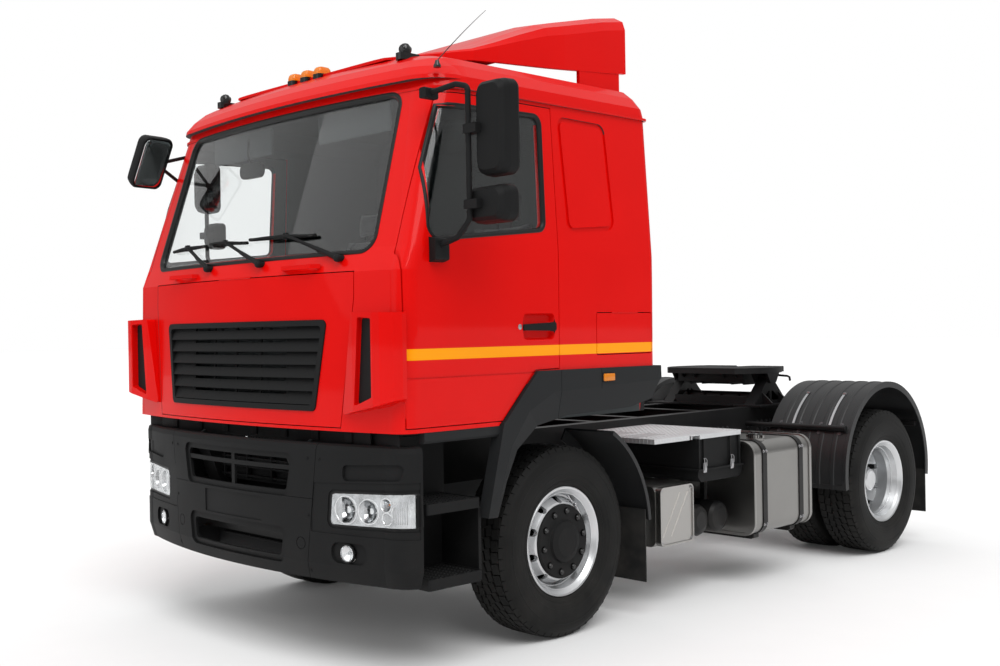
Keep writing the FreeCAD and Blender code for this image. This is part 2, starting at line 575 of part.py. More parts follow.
def tanks():
    """Fuel tanks in their strapped cradles, and the pressure vessels."""
    w = 90.0
    outline = [(TANK_IN, TANK_BOTTOM), (TANK_OUT, TANK_BOTTOM), (TANK_OUT, TANK_TOP), (TANK_IN, TANK_TOP)]
    bead = 6.0
    tank = prism_y(outline, TANK_FRONT, TANK_REAR, -bead, w - bead)
    # the heads are let in between rolled rims
    rims = [prism_y(outline, y0, y1, 0, w) for y0, y1 in ((TANK_FRONT, TANK_FRONT + 30),
                                                          (TANK_REAR - 30, TANK_REAR))]
    tank = tank.fuse(rims)
    tank = tank.cut([prism_y(outline, y0, y1, -18, w - 18) for y0, y1 in
                     ((TANK_FRONT - 1, TANK_FRONT + 12), (TANK_REAR - 12, TANK_REAR + 1))])
    neck_x, neck_y = TANK_OUT - 120, TANK_FRONT + 216
    neck = rod((neck_x, neck_y, TANK_TOP - 60), (neck_x, neck_y, TANK_TOP + 4), 56)
    cap = rod((neck_x, neck_y, TANK_TOP + 3), (neck_x, neck_y, TANK_TOP + 26), 46)
    ears = box(neck_x - 62, neck_x + 62, neck_y - 11, neck_y + 11, TANK_TOP + 8, TANK_TOP + 24)
    left = tank.fuse([neck, cap, ears]).removeSplitter()
    keep("fuel_tanks", left, mirrored(left))
    for y in (TANK_FRONT + 135, TANK_REAR - 138):
        outer = prism_y(outline, y - 25, y + 25, 0, w)
        band = outer.cut(prism_y(outline, y - 26, y + 26, SEAL - bead, w - bead + SEAL))
        arm = prism_y([(FRAME_HALF, TANK_TOP - 40), (FRAME_HALF, 700), (470, TANK_BOTTOM - 34),
                       (1130, TANK_BOTTOM - 34),
                       (1150, TANK_BOTTOM - 24), (1150, TANK_BOTTOM - SEAL),
                       (TANK_IN + 60, TANK_BOTTOM - SEAL),
                       (TANK_IN - SEAL, TANK_BOTTOM + 60), (TANK_IN - SEAL, TANK_TOP - 40)], y - 30, y + 30)
        pad = box(TANK_OUT - 200, TANK_OUT - 140, y - 25, y + 25, TANK_BOTTOM - 1, TANK_BOTTOM + bead - SEAL)
        band = band.fuse([arm, pad]).removeSplitter()
        keep("tank_straps", band, mirrored(band))
    r = 100.0
    for y in (BATTERY_FRONT + 130, BATTERY_REAR - 130):
        x0, x1, z = 520.0, 1080.0, 470.0
        dome = 34.0
        profile = [(x0, 0), (x0, r * 0.55), (x0 + 12, r * 0.86), (x0 + dome, r), (x1 - dome, r),
                   (x1 - 12, r * 0.86),
                   (x1, r * 0.55), (x1, 0)]
        vessel = ring_x(profile, y, z)
        bands = [ring_x([(x, r - 1), (x, r + 4), (x + 34, r + 4), (x + 34, r - 1)], y, z)
                 for x in (600, 930)]
        hangers = [box(x, x + 34, y - 16, y + 16, z + r - 2, BATTERY_BOTTOM) for x in (600, 930)]
        keep("air_tanks", vessel.fuse(bands + hangers).removeSplitter())


def side_boxes():
    """Battery box, catwalk and silencer on the left of the frame."""
    lip = BATTERY_BOTTOM + 82
    tray = prism_x([(BATTERY_FRONT - 4, lip), (BATTERY_FRONT - 4, BATTERY_BOTTOM + 30),
                    (BATTERY_FRONT + 30, BATTERY_BOTTOM),
                    (BATTERY_REAR - 30, BATTERY_BOTTOM), (BATTERY_REAR + 4, BATTERY_BOTTOM + 30),
                    (BATTERY_REAR + 4, lip)], FRAME_HALF, BATTERY_OUT)
    rail = box(FRAME_HALF, BATTERY_OUT + 12, BATTERY_FRONT - 14, BATTERY_REAR + 10, lip - 12, lip)
    case = box(FRAME_HALF, BATTERY_OUT - 12, BATTERY_FRONT + 8, BATTERY_REAR - 8, lip - 1, CATWALK_Z)
    ribs = [box(BATTERY_OUT - 13, BATTERY_OUT, y - 9, y + 9, lip - 1, CATWALK_Z)
            for y in (BATTERY_FRONT + 17, BATTERY_FRONT + 70, BATTERY_REAR - 120, BATTERY_REAR - 17)]
    keep("battery_box", tray.fuse([rail, case] + ribs).removeSplitter())

    # the tread plate is folded down along its edges and narrower over the silencer
    z = CATWALK_Z
    outline = [(FRAME_HALF, 850), (1135, 850), (1135, 1215), (BATTERY_OUT, 1235),
               (BATTERY_OUT, BATTERY_REAR + 6),
               (FRAME_HALF, BATTERY_REAR + 6)]
    walk = prism_z(outline, z + CATWALK_T - 6, z + CATWALK_T)
    folds = [box(FRAME_HALF, 1135, 850, 856, z, z + CATWALK_T), box(1129, 1135, 850, 1215, z, z + CATWALK_T),
             box(FRAME_HALF, BATTERY_OUT, BATTERY_FRONT + 20, BATTERY_REAR, z, z + CATWALK_T)]
    slots = []
    for i in range(7):
        for x in (690.0, 905.0):
            y = 905.0 + 44.0 * i
            slots.append(prism_z([(x - 80, y - 8), (x + 80, y - 8), (x + 80, y + 8), (x - 80, y + 8)], z,
                                 z + 60, 0, 7.9))
    beam = box(FRAME_HALF, 1129, 1240, 1254, z, z + CATWALK_T - 5)
    keep("catwalk", walk.fuse(folds + [beam]).cut(slots).removeSplitter())

    z0, z1 = SILENCER_BOTTOM, SILENCER_TOP
    silencer = prism_y([(SILENCER_IN, z0), (1110, z0), (1110, z1), (SILENCER_IN, z1)],
                       SILENCER_FRONT, SILENCER_REAR, 0, 40)
    rim_out = [(SILENCER_FRONT + 5, z0 + 6), (SILENCER_REAR - 5, z0 + 6), (SILENCER_REAR - 5, z1 - 6),
               (SILENCER_FRONT + 5, z1 - 6)]
    cover = prism_x(rim_out, 1108, 1140, 0, 35)
    raised = prism_x(rim_out, 1139, 1148, 0, 35).cut(prism_x(rim_out, 1138, 1149, -9, 26))
    strips = []
    for y in (985.0, 1070.0):
        strips.append(prism_x([(y - 70, 430), (y - 62, 430), (y + 118, 690), (y + 110, 690)], 1139, 1144))
    stay = prism_y([(FRAME_HALF, 900), (FRAME_HALF, 480), (SILENCER_IN + 1, 480), (SILENCER_IN + 1, 700)],
                   960, 1150)
    keep("silencer", silencer.fuse([cover, raised, stay] + strips).removeSplitter())


def fender_arc(r0, r1, a0, a1, x0, x1, y, z):
    """A curved strip of sheet between two radii and two angles, seen along the axle."""
    def at(r, a):
        a = math.radians(a)
        return V(x0, y + r * math.cos(a), z + r * math.sin(a))

    mid = (a0 + a1) / 2.0
    wire = Part.Wire([Part.Arc(at(r1, a0), at(r1, mid), at(r1, a1)).toShape(),
                      Part.makeLine(at(r1, a1), at(r0, a1)),
                      Part.Arc(at(r0, a1), at(r0, mid), at(r0, a0)).toShape(),
                      Part.makeLine(at(r0, a0), at(r1, a0))])
    return Part.Face(wire).extrude(V(x1 - x0, 0, 0))


def swept(profile, y, z, a0, a1):
    """A profile of (x, r) points swept about the line along X through (y, z), from angle a0 to a1."""
    a = math.radians(a0)
    points = [V(x, y + r * math.cos(a), z + r * math.sin(a)) for x, r in profile]
    face = Part.Face(Part.makePolygon(points + [points[0]]))
    return face.revolve(V(0, y, z), V(1, 0, 0), a1 - a0)


def mudguards():
    """Ribbed rear fenders with lips and front guards behind the steered wheels, with their flaps."""
    y, z = WHEELBASE + FENDER_DY, FENDER_Z
    r1, r0 = FENDER_R - FENDER_RIB, FENDER_R - FENDER_T
    first, last = -8, 188
    profile = [(FENDER_X0, r0 - 32), (FENDER_X0, r1)]
    pitch = (FENDER_X1 - FENDER_X0) / (FENDER_RIBS + 1.0)
    for i in range(FENDER_RIBS):
        x = FENDER_X0 + pitch * (i + 1)
        profile += [(x - 18, r1), (x - 12, FENDER_R), (x + 12, FENDER_R), (x + 18, r1)]
    profile += [(FENDER_X1 - 26, r1), (FENDER_X1 - 22, FENDER_R), (FENDER_X1, FENDER_R),
                (FENDER_X1, r0 - 32),
                (FENDER_X1 - 10, r0 - 32), (FENDER_X1 - 10, r0), (FENDER_X0 + 10, r0),
                (FENDER_X0 + 10, r0 - 32)]
    fender = swept(profile, y, z, first, last)
    joints = [fender_arc(r1 - 3, FENDER_R - 1, a, a + 3, FENDER_X0 + 5, FENDER_X1 - 5, y, z)
              for a in (28, 149, last - 3)]
    fender = fender.fuse(joints)
    for s in both(box(FENDER_X0 + 10, FENDER_X1 - 12, y + r0 - 20, y + r0 - 12, 225, 560)):
        keep("mudflaps", s)
    # the front bar passes before the skin and the rear one inside it
    reach_out = FENDER_R + FENDER_BAR_R + SEAL
    reach_in = r0 - 34
    for station, reach, drop in ((WHEELBASE - 542, reach_out, 0.0), (WHEELBASE + 560, reach_in, 24.0)):
        angle = math.acos((station - y) / reach)
        top = z + reach * math.sin(angle) - drop
        end = FENDER_X1 - 30
        bar = rod((FRAME_HALF, station, top), (end, station, top), FENDER_BAR_R)
        fender = fender.cut(rod((FRAME_HALF, station, top), (end + SEAL, station, top), FENDER_BAR_R + SEAL))
        keep("fender_bars", bar, mirrored(bar))
    fender = fender.removeSplitter()
    keep("rear_fenders", fender, mirrored(fender))

    guard_y, guard_z = 20.0, TYRE_R
    x0, x1 = 852.0, 1215.0
    guard = fender_arc(668, 680, 4, 60, x0, x1, guard_y, guard_z)
    rim = fender_arc(655, 680, 4, 60, x1 - 10, x1, guard_y, guard_z)
    rib = fender_arc(679, 686, 8, 56, x1 - 70, x1 - 40, guard_y, guard_z)
    inner = fender_arc(600, 668, 4, 60, x0, x0 + 10, guard_y, guard_z)
    stay = rod((FRAME_HALF, guard_y + 575, guard_z + 315), (x0, guard_y + 575, guard_z + 315), 16)
    front = guard.fuse([inner, stay, rim, rib]).removeSplitter()
    keep("front_mudguards", front, mirrored(front))
    for s in both(box(x0 + 10, x1 - 10, 650, 658, 215, 640)):
        keep("mudflaps", s)


def bumper_layer(table, out, deep):
    """The bumper's skin between two depths."""
    return lofted(table, out, BUMPER_BOW).cut(lofted(table, deep, BUMPER_BOW))


def headlamps(table, lamp_outline, fog):
    """Thin lenses over housings with their reflector bowls, one pair a side."""
    inset = 5.0
    lens = bumper_layer(table, inset, inset + LAMP_LENS_T).common(
        prism_y(lamp_outline, -2000, -1186, -SEAL, 22 - SEAL))
    fog_lens = bumper_layer(table, inset, BUMPER_T - 4).common(
        rod((fog[0], -1500, fog[1]), (fog[0], -1200, fog[1]), fog[2] - SEAL))
    keep("headlamps", lens, mirrored(lens), fog_lens, mirrored(fog_lens))
    behind = inset + LAMP_LENS_T + SEAL
    housing = bumper_layer(table, behind, LAMP_DEPTH).common(
        prism_y(lamp_outline, -2000, -1188, -SEAL, 22 - SEAL))
    # x, z, mouth radius, depth of each bowl
    bowls = []
    for x, z, mouth, depth in ((858.0, 826.0, 66.0, 62.0), (992.0, 826.0, 58.0, 66.0),
                               (1094.0, 864.0, 30.0, 40.0),
                               (1099.0, 798.0, 27.0, 40.0), (1168.0, 830.0, 44.0, 45.0)):
        face = BUMPER_NOSE + x ** 2 / (2 * BUMPER_BOW) + behind - 4
        turn = max(0.0, x - 1085.0) / 85.0 * 34.0
        a = math.radians(turn)
        start = V(x, face + max(0.0, x - 1085.0) * 0.42, z)
        bowls.append(Part.makeCone(mouth, mouth * 0.42, depth, start, V(-math.sin(a), math.cos(a), 0)))
    housing = housing.cut(Part.makeCompound(bowls))
    housing = sorted(housing.Solids, key=lambda s: -s.Volume)[0]
    keep("lamp_housings", housing, mirrored(housing))


def bumper():
    """Three-piece front bumper with its intakes and lamp fields, and the beam with the cab's pivots."""
    # z, half width, nose, corner radius, back, back corner radius
    table = [(BUMPER_BOTTOM, 1225.0, BUMPER_NOSE + 25, 150.0, 400.0, 20.0),
             (546.0, 1245.0, BUMPER_NOSE, 160.0, 400.0, 20.0),
             (BUMPER_TOP - 34, 1250.0, BUMPER_NOSE, 160.0, 400.0, 20.0),
             (BUMPER_TOP - 9, 1246.0, BUMPER_NOSE + 6, 156.0, 400.0, 20.0),
             (BUMPER_TOP, 1232.0, BUMPER_NOSE + 20, 148.0, 400.0, 20.0)]
    bow = BUMPER_BOW
    outer, inner = lofted(table, 0, bow), lofted(table, BUMPER_T, bow)
    core = inner.common(box(-2000, 2000, -2000, BUMPER_BACK + 1, BUMPER_BOTTOM - 1, BUMPER_TOP - 34))
    top_core = inner.common(box(-BUMPER_LEDGE_X, BUMPER_LEDGE_X, -2000, BUMPER_BACK + 1, 600,
                                BUMPER_TOP + 1))
    shell = outer.common(box(-2000, 2000, -2000, BUMPER_BACK, 0, 3000)).cut([core, top_core])
    seam_low, seam_top = 601.0, 682.0
    middle = [(-seam_low, BUMPER_BOTTOM), (seam_low, BUMPER_BOTTOM), (seam_top, BUMPER_TOP),
              (-seam_top, BUMPER_TOP)]
    cutter = prism_y(middle, -2000, -1000)
    centre = shell.common(cutter)
    corners = shell.cut(prism_y(middle, -2000, -1000, 3.0))

    upper = [(-449, 895), (449, 895), (485, 1061), (-485, 1061)]
    lower = [(-404, 553), (404, 553), (423, 672), (-423, 672)]
    plate = [(-270, 721), (270, 721), (270, 848), (-270, 848)]
    shallow, deep = 6.0, 14.0
    cuts = []
    for outline, grow, depth, radius in ((upper, 30.0, deep, 45.0), (lower, 34.0, deep, 45.0),
                                         (plate, 0.0, shallow, 8.0)):
        cuts.append(bumper_layer(table, -2, depth).common(prism_y(outline, -2000, -1000, grow, radius)))
    seam = box(-700, 700, -2000, -1000, 866, 869)
    towing = rod((566, -1500, 636), (566, -1300, 636), 32).cut(rod((566, -1501, 636), (566, -1299, 636), 28))
    cuts.append(bumper_layer(table, -2, 4.0).common(seam.fuse(both(towing))))
    centre = centre.cut([prism_y(outline, -2000, -1000, 0, 25) for outline in (upper, lower)] + cuts)
    bar = box(-520, 520, -2000, -1000, INTAKE_BAR_Z - 12, INTAKE_BAR_Z + 12)
    post = box(-14, 14, -2000, -1000, 880, 1075)
    bars = bumper_layer(table, deep + 2, BUMPER_T - 2).common(bar.fuse(post)).common(
        prism_y(upper, -2000, -1000, 10.0, 25))
    keep("front_bumper", centre.fuse(bars).removeSplitter())

    lamp_outline = [(760, 750), (1300, 760), (1300, 925), (774, 903)]
    lamp_cut = prism_y(lamp_outline, -2000, -1185, 0, 22)
    fog = (867.0, 611.0, 48.0)
    field = [(640, 702), (1400, 702), (1400, 984), (640, 950)]
    pocket = [(848, 968), (1178, 986), (1200, 1066), (848, 1048)]
    fog_field = [(770, 560), (985, 560), (985, 664), (770, 664)]
    cuts = []
    for outline, grow, depth, radius in ((field, 0.0, 4.0, 0.0), (pocket, 0.0, deep, 24.0),
                                         (lamp_outline, 20.0, 10.0, 40.0), (fog_field, 0.0, deep, 45.0)):
        cuts.append(bumper_layer(table, -2, depth).common(prism_y(outline, -2000, -1170, grow, radius)))
    left = corners.common(box(0, 2000, -3000, 3000, 0, 3000))
    left = left.cut(cuts + [lamp_cut, rod((fog[0], -1500, fog[1]), (fog[0], -1200, fog[1]), fog[2])])
    keep("bumper_corners", left, mirrored(left))
    headlamps(table, lamp_outline, fog)

    reach = lofted(table, BUMPER_T + 0.3, bow)
    beam = box(-1300, 1300, -1270, BEAM_BACK, 600, 700).common(reach)
    struts = [box(440, 500, -1400, -1270, 620, 680).common(reach)]
    struts.append(mirrored(struts[0]))
    top = PIVOT_R + 12
    outline = [(RAIL_FRONT, 600), (RAIL_FRONT, FRAME_TOP - 10), (TILT_Y + top, TILT_Z + top),
               (TILT_Y - top + 10, TILT_Z + top), (TILT_Y - top + 10, TILT_Z - top), (BEAM_BACK - 30, 850),
               (BEAM_BACK - 30, 600)]
    post = prism_x(outline, POST_X0, POST_X1)
    post = post.cut(rod((POST_X0 - 1, TILT_Y, TILT_Z), (POST_X1 + 1, TILT_Y, TILT_Z), PIVOT_R))
    keep("front_beam", beam.fuse(struts + both(post)).removeSplitter())


def steps():
    """Two treads a side between the bumper and the wheel, in a step box on an arm from the frame."""
    wall = 10.0
    treads = []
    for y0, y1, z0, z1 in ((-1128, -762, 814, 866), (-1124, -756, 445, 500)):
        tread = prism_z([(935, y0), (1240, y0), (1240, y1), (935, y1)], z0, z1, 0, 14)
        tread = tread.cut([box(935 + 2 * wall, 1240 - wall, y0 + wall, y1 - wall, z0 - 1, z1 - wall),
                           box(935 + 3 * wall, 1240 - wall, y0 + wall, y1 - wall, z1 - 4, z1 + 1)])
        treads.append(tread)
    back = box(925, 950, -1150, -735, 445, 1170)
    cheek = prism_x([(-755, 445), (-735, 445), (-735, 810), (-755, 810)], 925, 1215)
    web = prism_y([(949, 866), (949, 1168), (985, 1168), (1010, 1120), (1010, 900)], -1150, -1140)
    arm = box(FRAME_HALF, 925, -1000, -900, 820, 900)
    step_box = back.fuse(treads + [cheek, arm, web]).removeSplitter()
    keep("cab_steps", step_box, mirrored(step_box))


# ------------------------------------------------------------------ cab
# z, half width, nose, corner radius, back, back corner radius
BODY_TABLE = [(CAB_FLOOR, 1243.0, -1402.0, 95.0, CAB_BACK, 60.0),
              (FLAP_TOP, 1250.0, -1380.0, 95.0, CAB_BACK, 60.0),
              (BELT_Z, 1250.0, -1332.0, 95.0, CAB_BACK, 60.0),
              (ROOF_Z, 1205.0, -1075.0, 190.0, CAB_BACK - 5, 60.0)]
VISOR_TABLE = [(2969.0, 1200.0, -1102.0, 215.0, 0.0, 60.0),
               (2990.0, 1194.0, -1099.0, 215.0, 0.0, 60.0),
               (3040.0, 1152.0, -1062.0, 210.0, 0.0, 60.0),
               (3088.0, 1104.0, -1006.0, 205.0, 0.0, 60.0),
               (3112.0, 1044.0, -960.0, 195.0, 0.0, 60.0)]
ROOF_TABLE = [(ROOF_Z, 1208.0, -1078.0, 192.0, CAB_BACK, 60.0),
              (2985.0, 1201.0, -1053.0, 205.0, CAB_BACK - 5, 80.0),
              (3050.0, 1152.0, -1024.0, 208.0, CAB_BACK - 15, 80.0),
              (3095.0, 1106.0, -985.0, 200.0, CAB_BACK - 35, 80.0),
              (3140.0, 960.0, -900.0, 180.0, CAB_BACK - 70, 80.0),
              (3160.0, 865.0, -830.0, 150.0, CAB_BACK - 110, 80.0)]

DOOR = [(DOOR_FRONT, 1240.0), (-592.0, 1240.0), (-338.0, 1492.0), (DOOR_REAR, 1496.0), (DOOR_REAR, 2893.0),
        (-1067.0, 2893.0), (DOOR_FRONT, 2010.0)]
WINDOW = [(-1092.0, 2200.0), (-1045.0, 2160.0), (-250.0, 2238.0), (-236.0, 2838.0), (-1036.0, 2822.0)]
HATCH = [(179.0, 1561.0), (680.0, 1561.0), (680.0, 1790.0), (179.0, 1790.0)]
SCREEN = [(-1000.0, 2112.0), (1000.0, 2112.0), (955.0, 2905.0), (-955.0, 2905.0)]
BAND = [(-1205.0, 2066.0), (DOOR_REAR, 2096.0), (440.0, 2118.0), (392.0, 2862.0), (-1035.0, 2862.0),
        (-1205.0, 2030.0 + 60.0)]
PANEL = [(-33.0, 2252.0), (334.0, 2281.0), (294.0, 2829.0), (-69.0, 2835.0)]
HANDLE = [(-425.0, 1652.0), (-181.0, 1652.0), (-181.0, 1786.0), (-425.0, 1786.0)]
FLAP = [(-FLAP_BOTTOM_HALF, FLAP_BOTTOM), (FLAP_BOTTOM_HALF, FLAP_BOTTOM),
        (FLAP_TOP_HALF - 4, FLAP_TOP - 130),
        (FLAP_TOP_HALF - 4, FLAP_TOP), (-FLAP_TOP_HALF + 4, FLAP_TOP), (-FLAP_TOP_HALF + 4, FLAP_TOP - 130)]


def pane(outline_prism):
    """Glass at its depth behind the outer skin, cut to an outline."""
    outer = lofted(BODY_TABLE, GLASS_INSET)
    inner = lofted(BODY_TABLE, GLASS_INSET + GLASS_T)
    return outer.cut(inner).common(outline_prism)


def cab():
    """Cab shell with its doors, glass, front flap, locker hatches, floor and roof."""
    shell = lofted(BODY_TABLE).cut(lofted(BODY_TABLE, WALL))
    band = prism_x(BAND, 1100, 1400, 0, 40)
    ring = prism_x(PANEL, 1100, 1400, 24, 60).cut(prism_x(PANEL, 1099, 1401, 0, 36))
    crease = box(1100, 1400, -1300, -300, 1475, 1483)
    pressed = [lofted(BODY_TABLE, -2).cut(lofted(BODY_TABLE, depth)).common(form)
               for depth, form in ((RELIEF, band), (2 * RELIEF, ring), (RELIEF, crease))]
    for form in pressed:
        shell = shell.cut(both(form))
    side_in = DOOR_INNER_X
    door_zone = prism_x(DOOR, DOOR_INNER_X, 1400)
    door_hole = prism_x(DOOR, DOOR_INNER_X - PANEL_GAP, 1400, PANEL_GAP)
    window_cut = prism_x(WINDOW, DOOR_INNER_X, 1400, 0, 45)
    recess_x = CAB_HALF - 28.0
    recess = Part.makeLoft([face_of([V(x, y, z) for y, z in HANDLE], grow, 30).OuterWire
                            for x, grow in ((CAB_HALF + 1, 4.0), (recess_x, -8.0))], True, True)
    door = shell.common(door_zone).cut([window_cut, recess])
    grip = prism_x([(-432, 1700), (-172, 1696), (-172, 1742), (-432, 1732)], recess_x + 18, recess_x + 34, 0,
                   12)
    feet = [rod((recess_x - 1, y, 1718), (recess_x + 34, y, 1718), r) for y, r in ((-200, 25), (-408, 12))]
    door = door.fuse([grip] + feet).removeSplitter()
    keep("door_left", door)
    keep("door_right", mirrored(door))
    glass = pane(prism_x(WINDOW, DOOR_INNER_X, 1400, -SEAL, 45 - SEAL))
    keep("door_glass_left", glass)
    keep("door_glass_right", mirrored(glass))

    hatch = shell.common(prism_x(HATCH, 1190, 1400, 0, 12))
    keep("locker_hatch_left", hatch)
    keep("locker_hatch_right", mirrored(hatch))
    hatch_hole = prism_x(HATCH, 1185, 1400, PANEL_GAP, 12 + PANEL_GAP)

    flap = shell.common(prism_y(FLAP, -2000, -1000))
    grille_hole = prism_y([(-GRILLE_BOTTOM_HALF, GRILLE_BOTTOM), (GRILLE_BOTTOM_HALF, GRILLE_BOTTOM),
                           (GRILLE_TOP_HALF, GRILLE_TOP), (-GRILLE_TOP_HALF, GRILLE_TOP)], -2000, -1000, 0,
                          30)
    keep("front_flap", flap.cut(grille_hole))
    screen_cut = prism_y(SCREEN, -2000, -900, 0, 70)
    keep("windscreen", pane(prism_y(SCREEN, -2000, -900, -SEAL, 70 - SEAL)))

    arch_cut = prism_x([(-700, 1130), (ARCH_REAR[0] + 3, 1130), ARCH_REAR, ARCH_FRONT, (-600, 1236)],
                       side_in, 1400)
    body = shell.cut(both(door_hole) + both(hatch_hole) + both(arch_cut)
                     + [prism_y(FLAP, -2000, -1000, PANEL_GAP), screen_cut])
    side_x = side_in - 2 * PANEL_GAP
    floor = box(-side_x, side_x, -1235, CAB_BACK - WALL, CAB_FLOOR, CAB_FLOOR + FLOOR_T)
    tunnel = prism_y([(-420, CAB_FLOOR), (420, CAB_FLOOR), (420, 1440), (-420, 1440)], -900, CAB_BACK - WALL)
    hollow = prism_y([(-380, 0), (380, 0), (380, 1410), (-380, 1410)], -860, CAB_BACK - WALL)
    bulkhead = box(-side_x, side_x, -1235, -1205, CAB_FLOOR, 2060)
    arch_top = ARCH_FRONT[1]
    wheel_box = both(box(side_x - 15, side_in, DOOR_REAR + 15, CAB_BACK - WALL, CAB_FLOOR,
                         arch_top + 34).fuse(
        box(side_x - 15, CAB_HALF, DOOR_REAR + 15, CAB_BACK - WALL, arch_top, arch_top + 34)))
    inside = lofted(BODY_TABLE, WALL + SEAL)
    floor = floor.fuse([tunnel, bulkhead] + wheel_box).cut(hollow).common(inside)
    arms = []
    for side in (-1, 1):
        x0, x1 = (POST_X1 + PANEL_GAP, POST_X1 + 30) if side > 0 else (-POST_X1 - 30, -POST_X1 - PANEL_GAP)
        arms.append(prism_x([(TILT_Y, TILT_Z + 20), (TILT_Y + 18, TILT_Z - 20),
                             (TILT_Y + 175, CAB_FLOOR + 1),
                             (TILT_Y + 128, CAB_FLOOR + 1)], x0, x1))
        arms.append(rod((x0, TILT_Y, TILT_Z), (x1, TILT_Y, TILT_Z), PIVOT_R + 8))
        arms.append(rod((side * POST_X0, TILT_Y, TILT_Z), (side * (POST_X1 + 30), TILT_Y, TILT_Z),
                        PIVOT_R - PIN_CLEAR))
    keep("cab_floor", floor.fuse(arms).removeSplitter())

    y, z = DOOR_FRONT - PANEL_GAP / 2, FLAP_TOP + PANEL_GAP / 2
    pins = []
    for low, high in ((1290, 1380), (1440, 1560)):
        pins += both(rod((HINGE_X, y, low), (HINGE_X, y, high), HINGE_R).fuse(
            box(HINGE_X - 9, HINGE_X + 1, y - 6, y, low, high)))
    pins.append(rod((-150, FLAP_HINGE_Y, z), (150, FLAP_HINGE_Y, z), HINGE_R).fuse(
        box(-150, 150, FLAP_HINGE_Y - 1, FLAP_HINGE_Y + 8, z, z + 6)))
    y, z = (HATCH[0][0] + HATCH[1][0]) / 2, HATCH[2][1] + PANEL_GAP / 2
    pins += both(rod((CAB_HALF, y - 120, z), (CAB_HALF, y + 120, z), HINGE_R).fuse(
        box(CAB_HALF - 9, CAB_HALF + 1, y - 120, y + 120, z, z + 6)))
    rail_y = skin_y(550, 2040)
    grab = prism_z([(404, rail_y + 8), (428, rail_y - 42), (672, rail_y - 42), (696, rail_y + 8),
                    (668, rail_y + 8),
                    (656, rail_y - 20), (444, rail_y - 20), (432, rail_y + 8)], 2030, 2052)
    beads = [box(x - 20, x + 20, CAB_BACK - RELIEF, CAB_BACK + 50, 1500, 2700) for x in (-800, -300, 300,
                                                                                         800)]
    keep("cab_body", body.cut(beads).fuse(pins + both(grab)).removeSplitter())

    thick = 35.0
    inner = lofted([(z - (0 if i == 0 else thick), h, n, c, b, r)
                    for i, (z, h, n, c, b, r) in enumerate(ROOF_TABLE)], thick)
    gutter = [(z, half, -1078.0, 190.0, CAB_BACK + 6, 60.0) for z, half in
              ((ROOF_Z + 1, CAB_HALF - 45 + GUTTER_OUT), (ROOF_Z + 6, CAB_HALF - 42 + GUTTER_OUT),
               (ROOF_Z + 14, CAB_HALF - 43 + GUTTER_OUT))]
    gutter = lofted(gutter).common(box(-2000, 2000, -1000, 2000, 0, 4000))
    roof = lofted(ROOF_TABLE).fuse([lofted(VISOR_TABLE), gutter]).cut(inner)
    keep("cab_roof", roof.removeSplitter())


def grille():
    """Louvred grille in the front flap: a frame and overlapping slats on the nose's bow."""
    nose = -1400.0
    outline = [(-GRILLE_BOTTOM_HALF, GRILLE_BOTTOM), (GRILLE_BOTTOM_HALF, GRILLE_BOTTOM),
               (GRILLE_TOP_HALF, GRILLE_TOP), (-GRILLE_TOP_HALF, GRILLE_TOP)]
    slab = bowed([(nose - 8, GRILLE_BOTTOM - 10), (nose + 40, GRILLE_BOTTOM - 10),
                  (nose + 55, GRILLE_TOP + 10),
                  (nose + 7, GRILLE_TOP + 10)], nose, 900)
    frame = slab.common(prism_y(outline, -2000, -1000, -1.0, 30))
    frame = frame.cut(prism_y(outline, -2000, -1000, -30.0, 20))
    pitch = (GRILLE_TOP - GRILLE_BOTTOM - 60) / LOUVRES
    slats = []
    for i in range(LOUVRES):
        z = GRILLE_BOTTOM + 30 + pitch * i
        lean = 15.0 * (z - GRILLE_BOTTOM) / (GRILLE_TOP - GRILLE_BOTTOM)
        slats.append(bowed([(nose + lean - 6, z + 4), (nose + lean + 4, z + 4),
                            (nose + lean + 34, z + pitch + 6),
                            (nose + lean + 24, z + pitch + 6)], nose, 900))
    inside = prism_y(outline, -2000, -1000, -29.0, 20)
    # the middle of each gap between two slats is open, with a stay at each quarter
    gaps = []
    for i in range(LOUVRES):
        z = GRILLE_BOTTOM + 30 + pitch * (i + 1)
        gaps += [box(x + 6, x + 214, -2000, -1000, z - 15, z - 1) for x in (-440.0, -220.0, 0.0, 220.0)]
    keep("grille", frame.fuse([s.common(inside) for s in slats]).cut(gaps).removeSplitter())


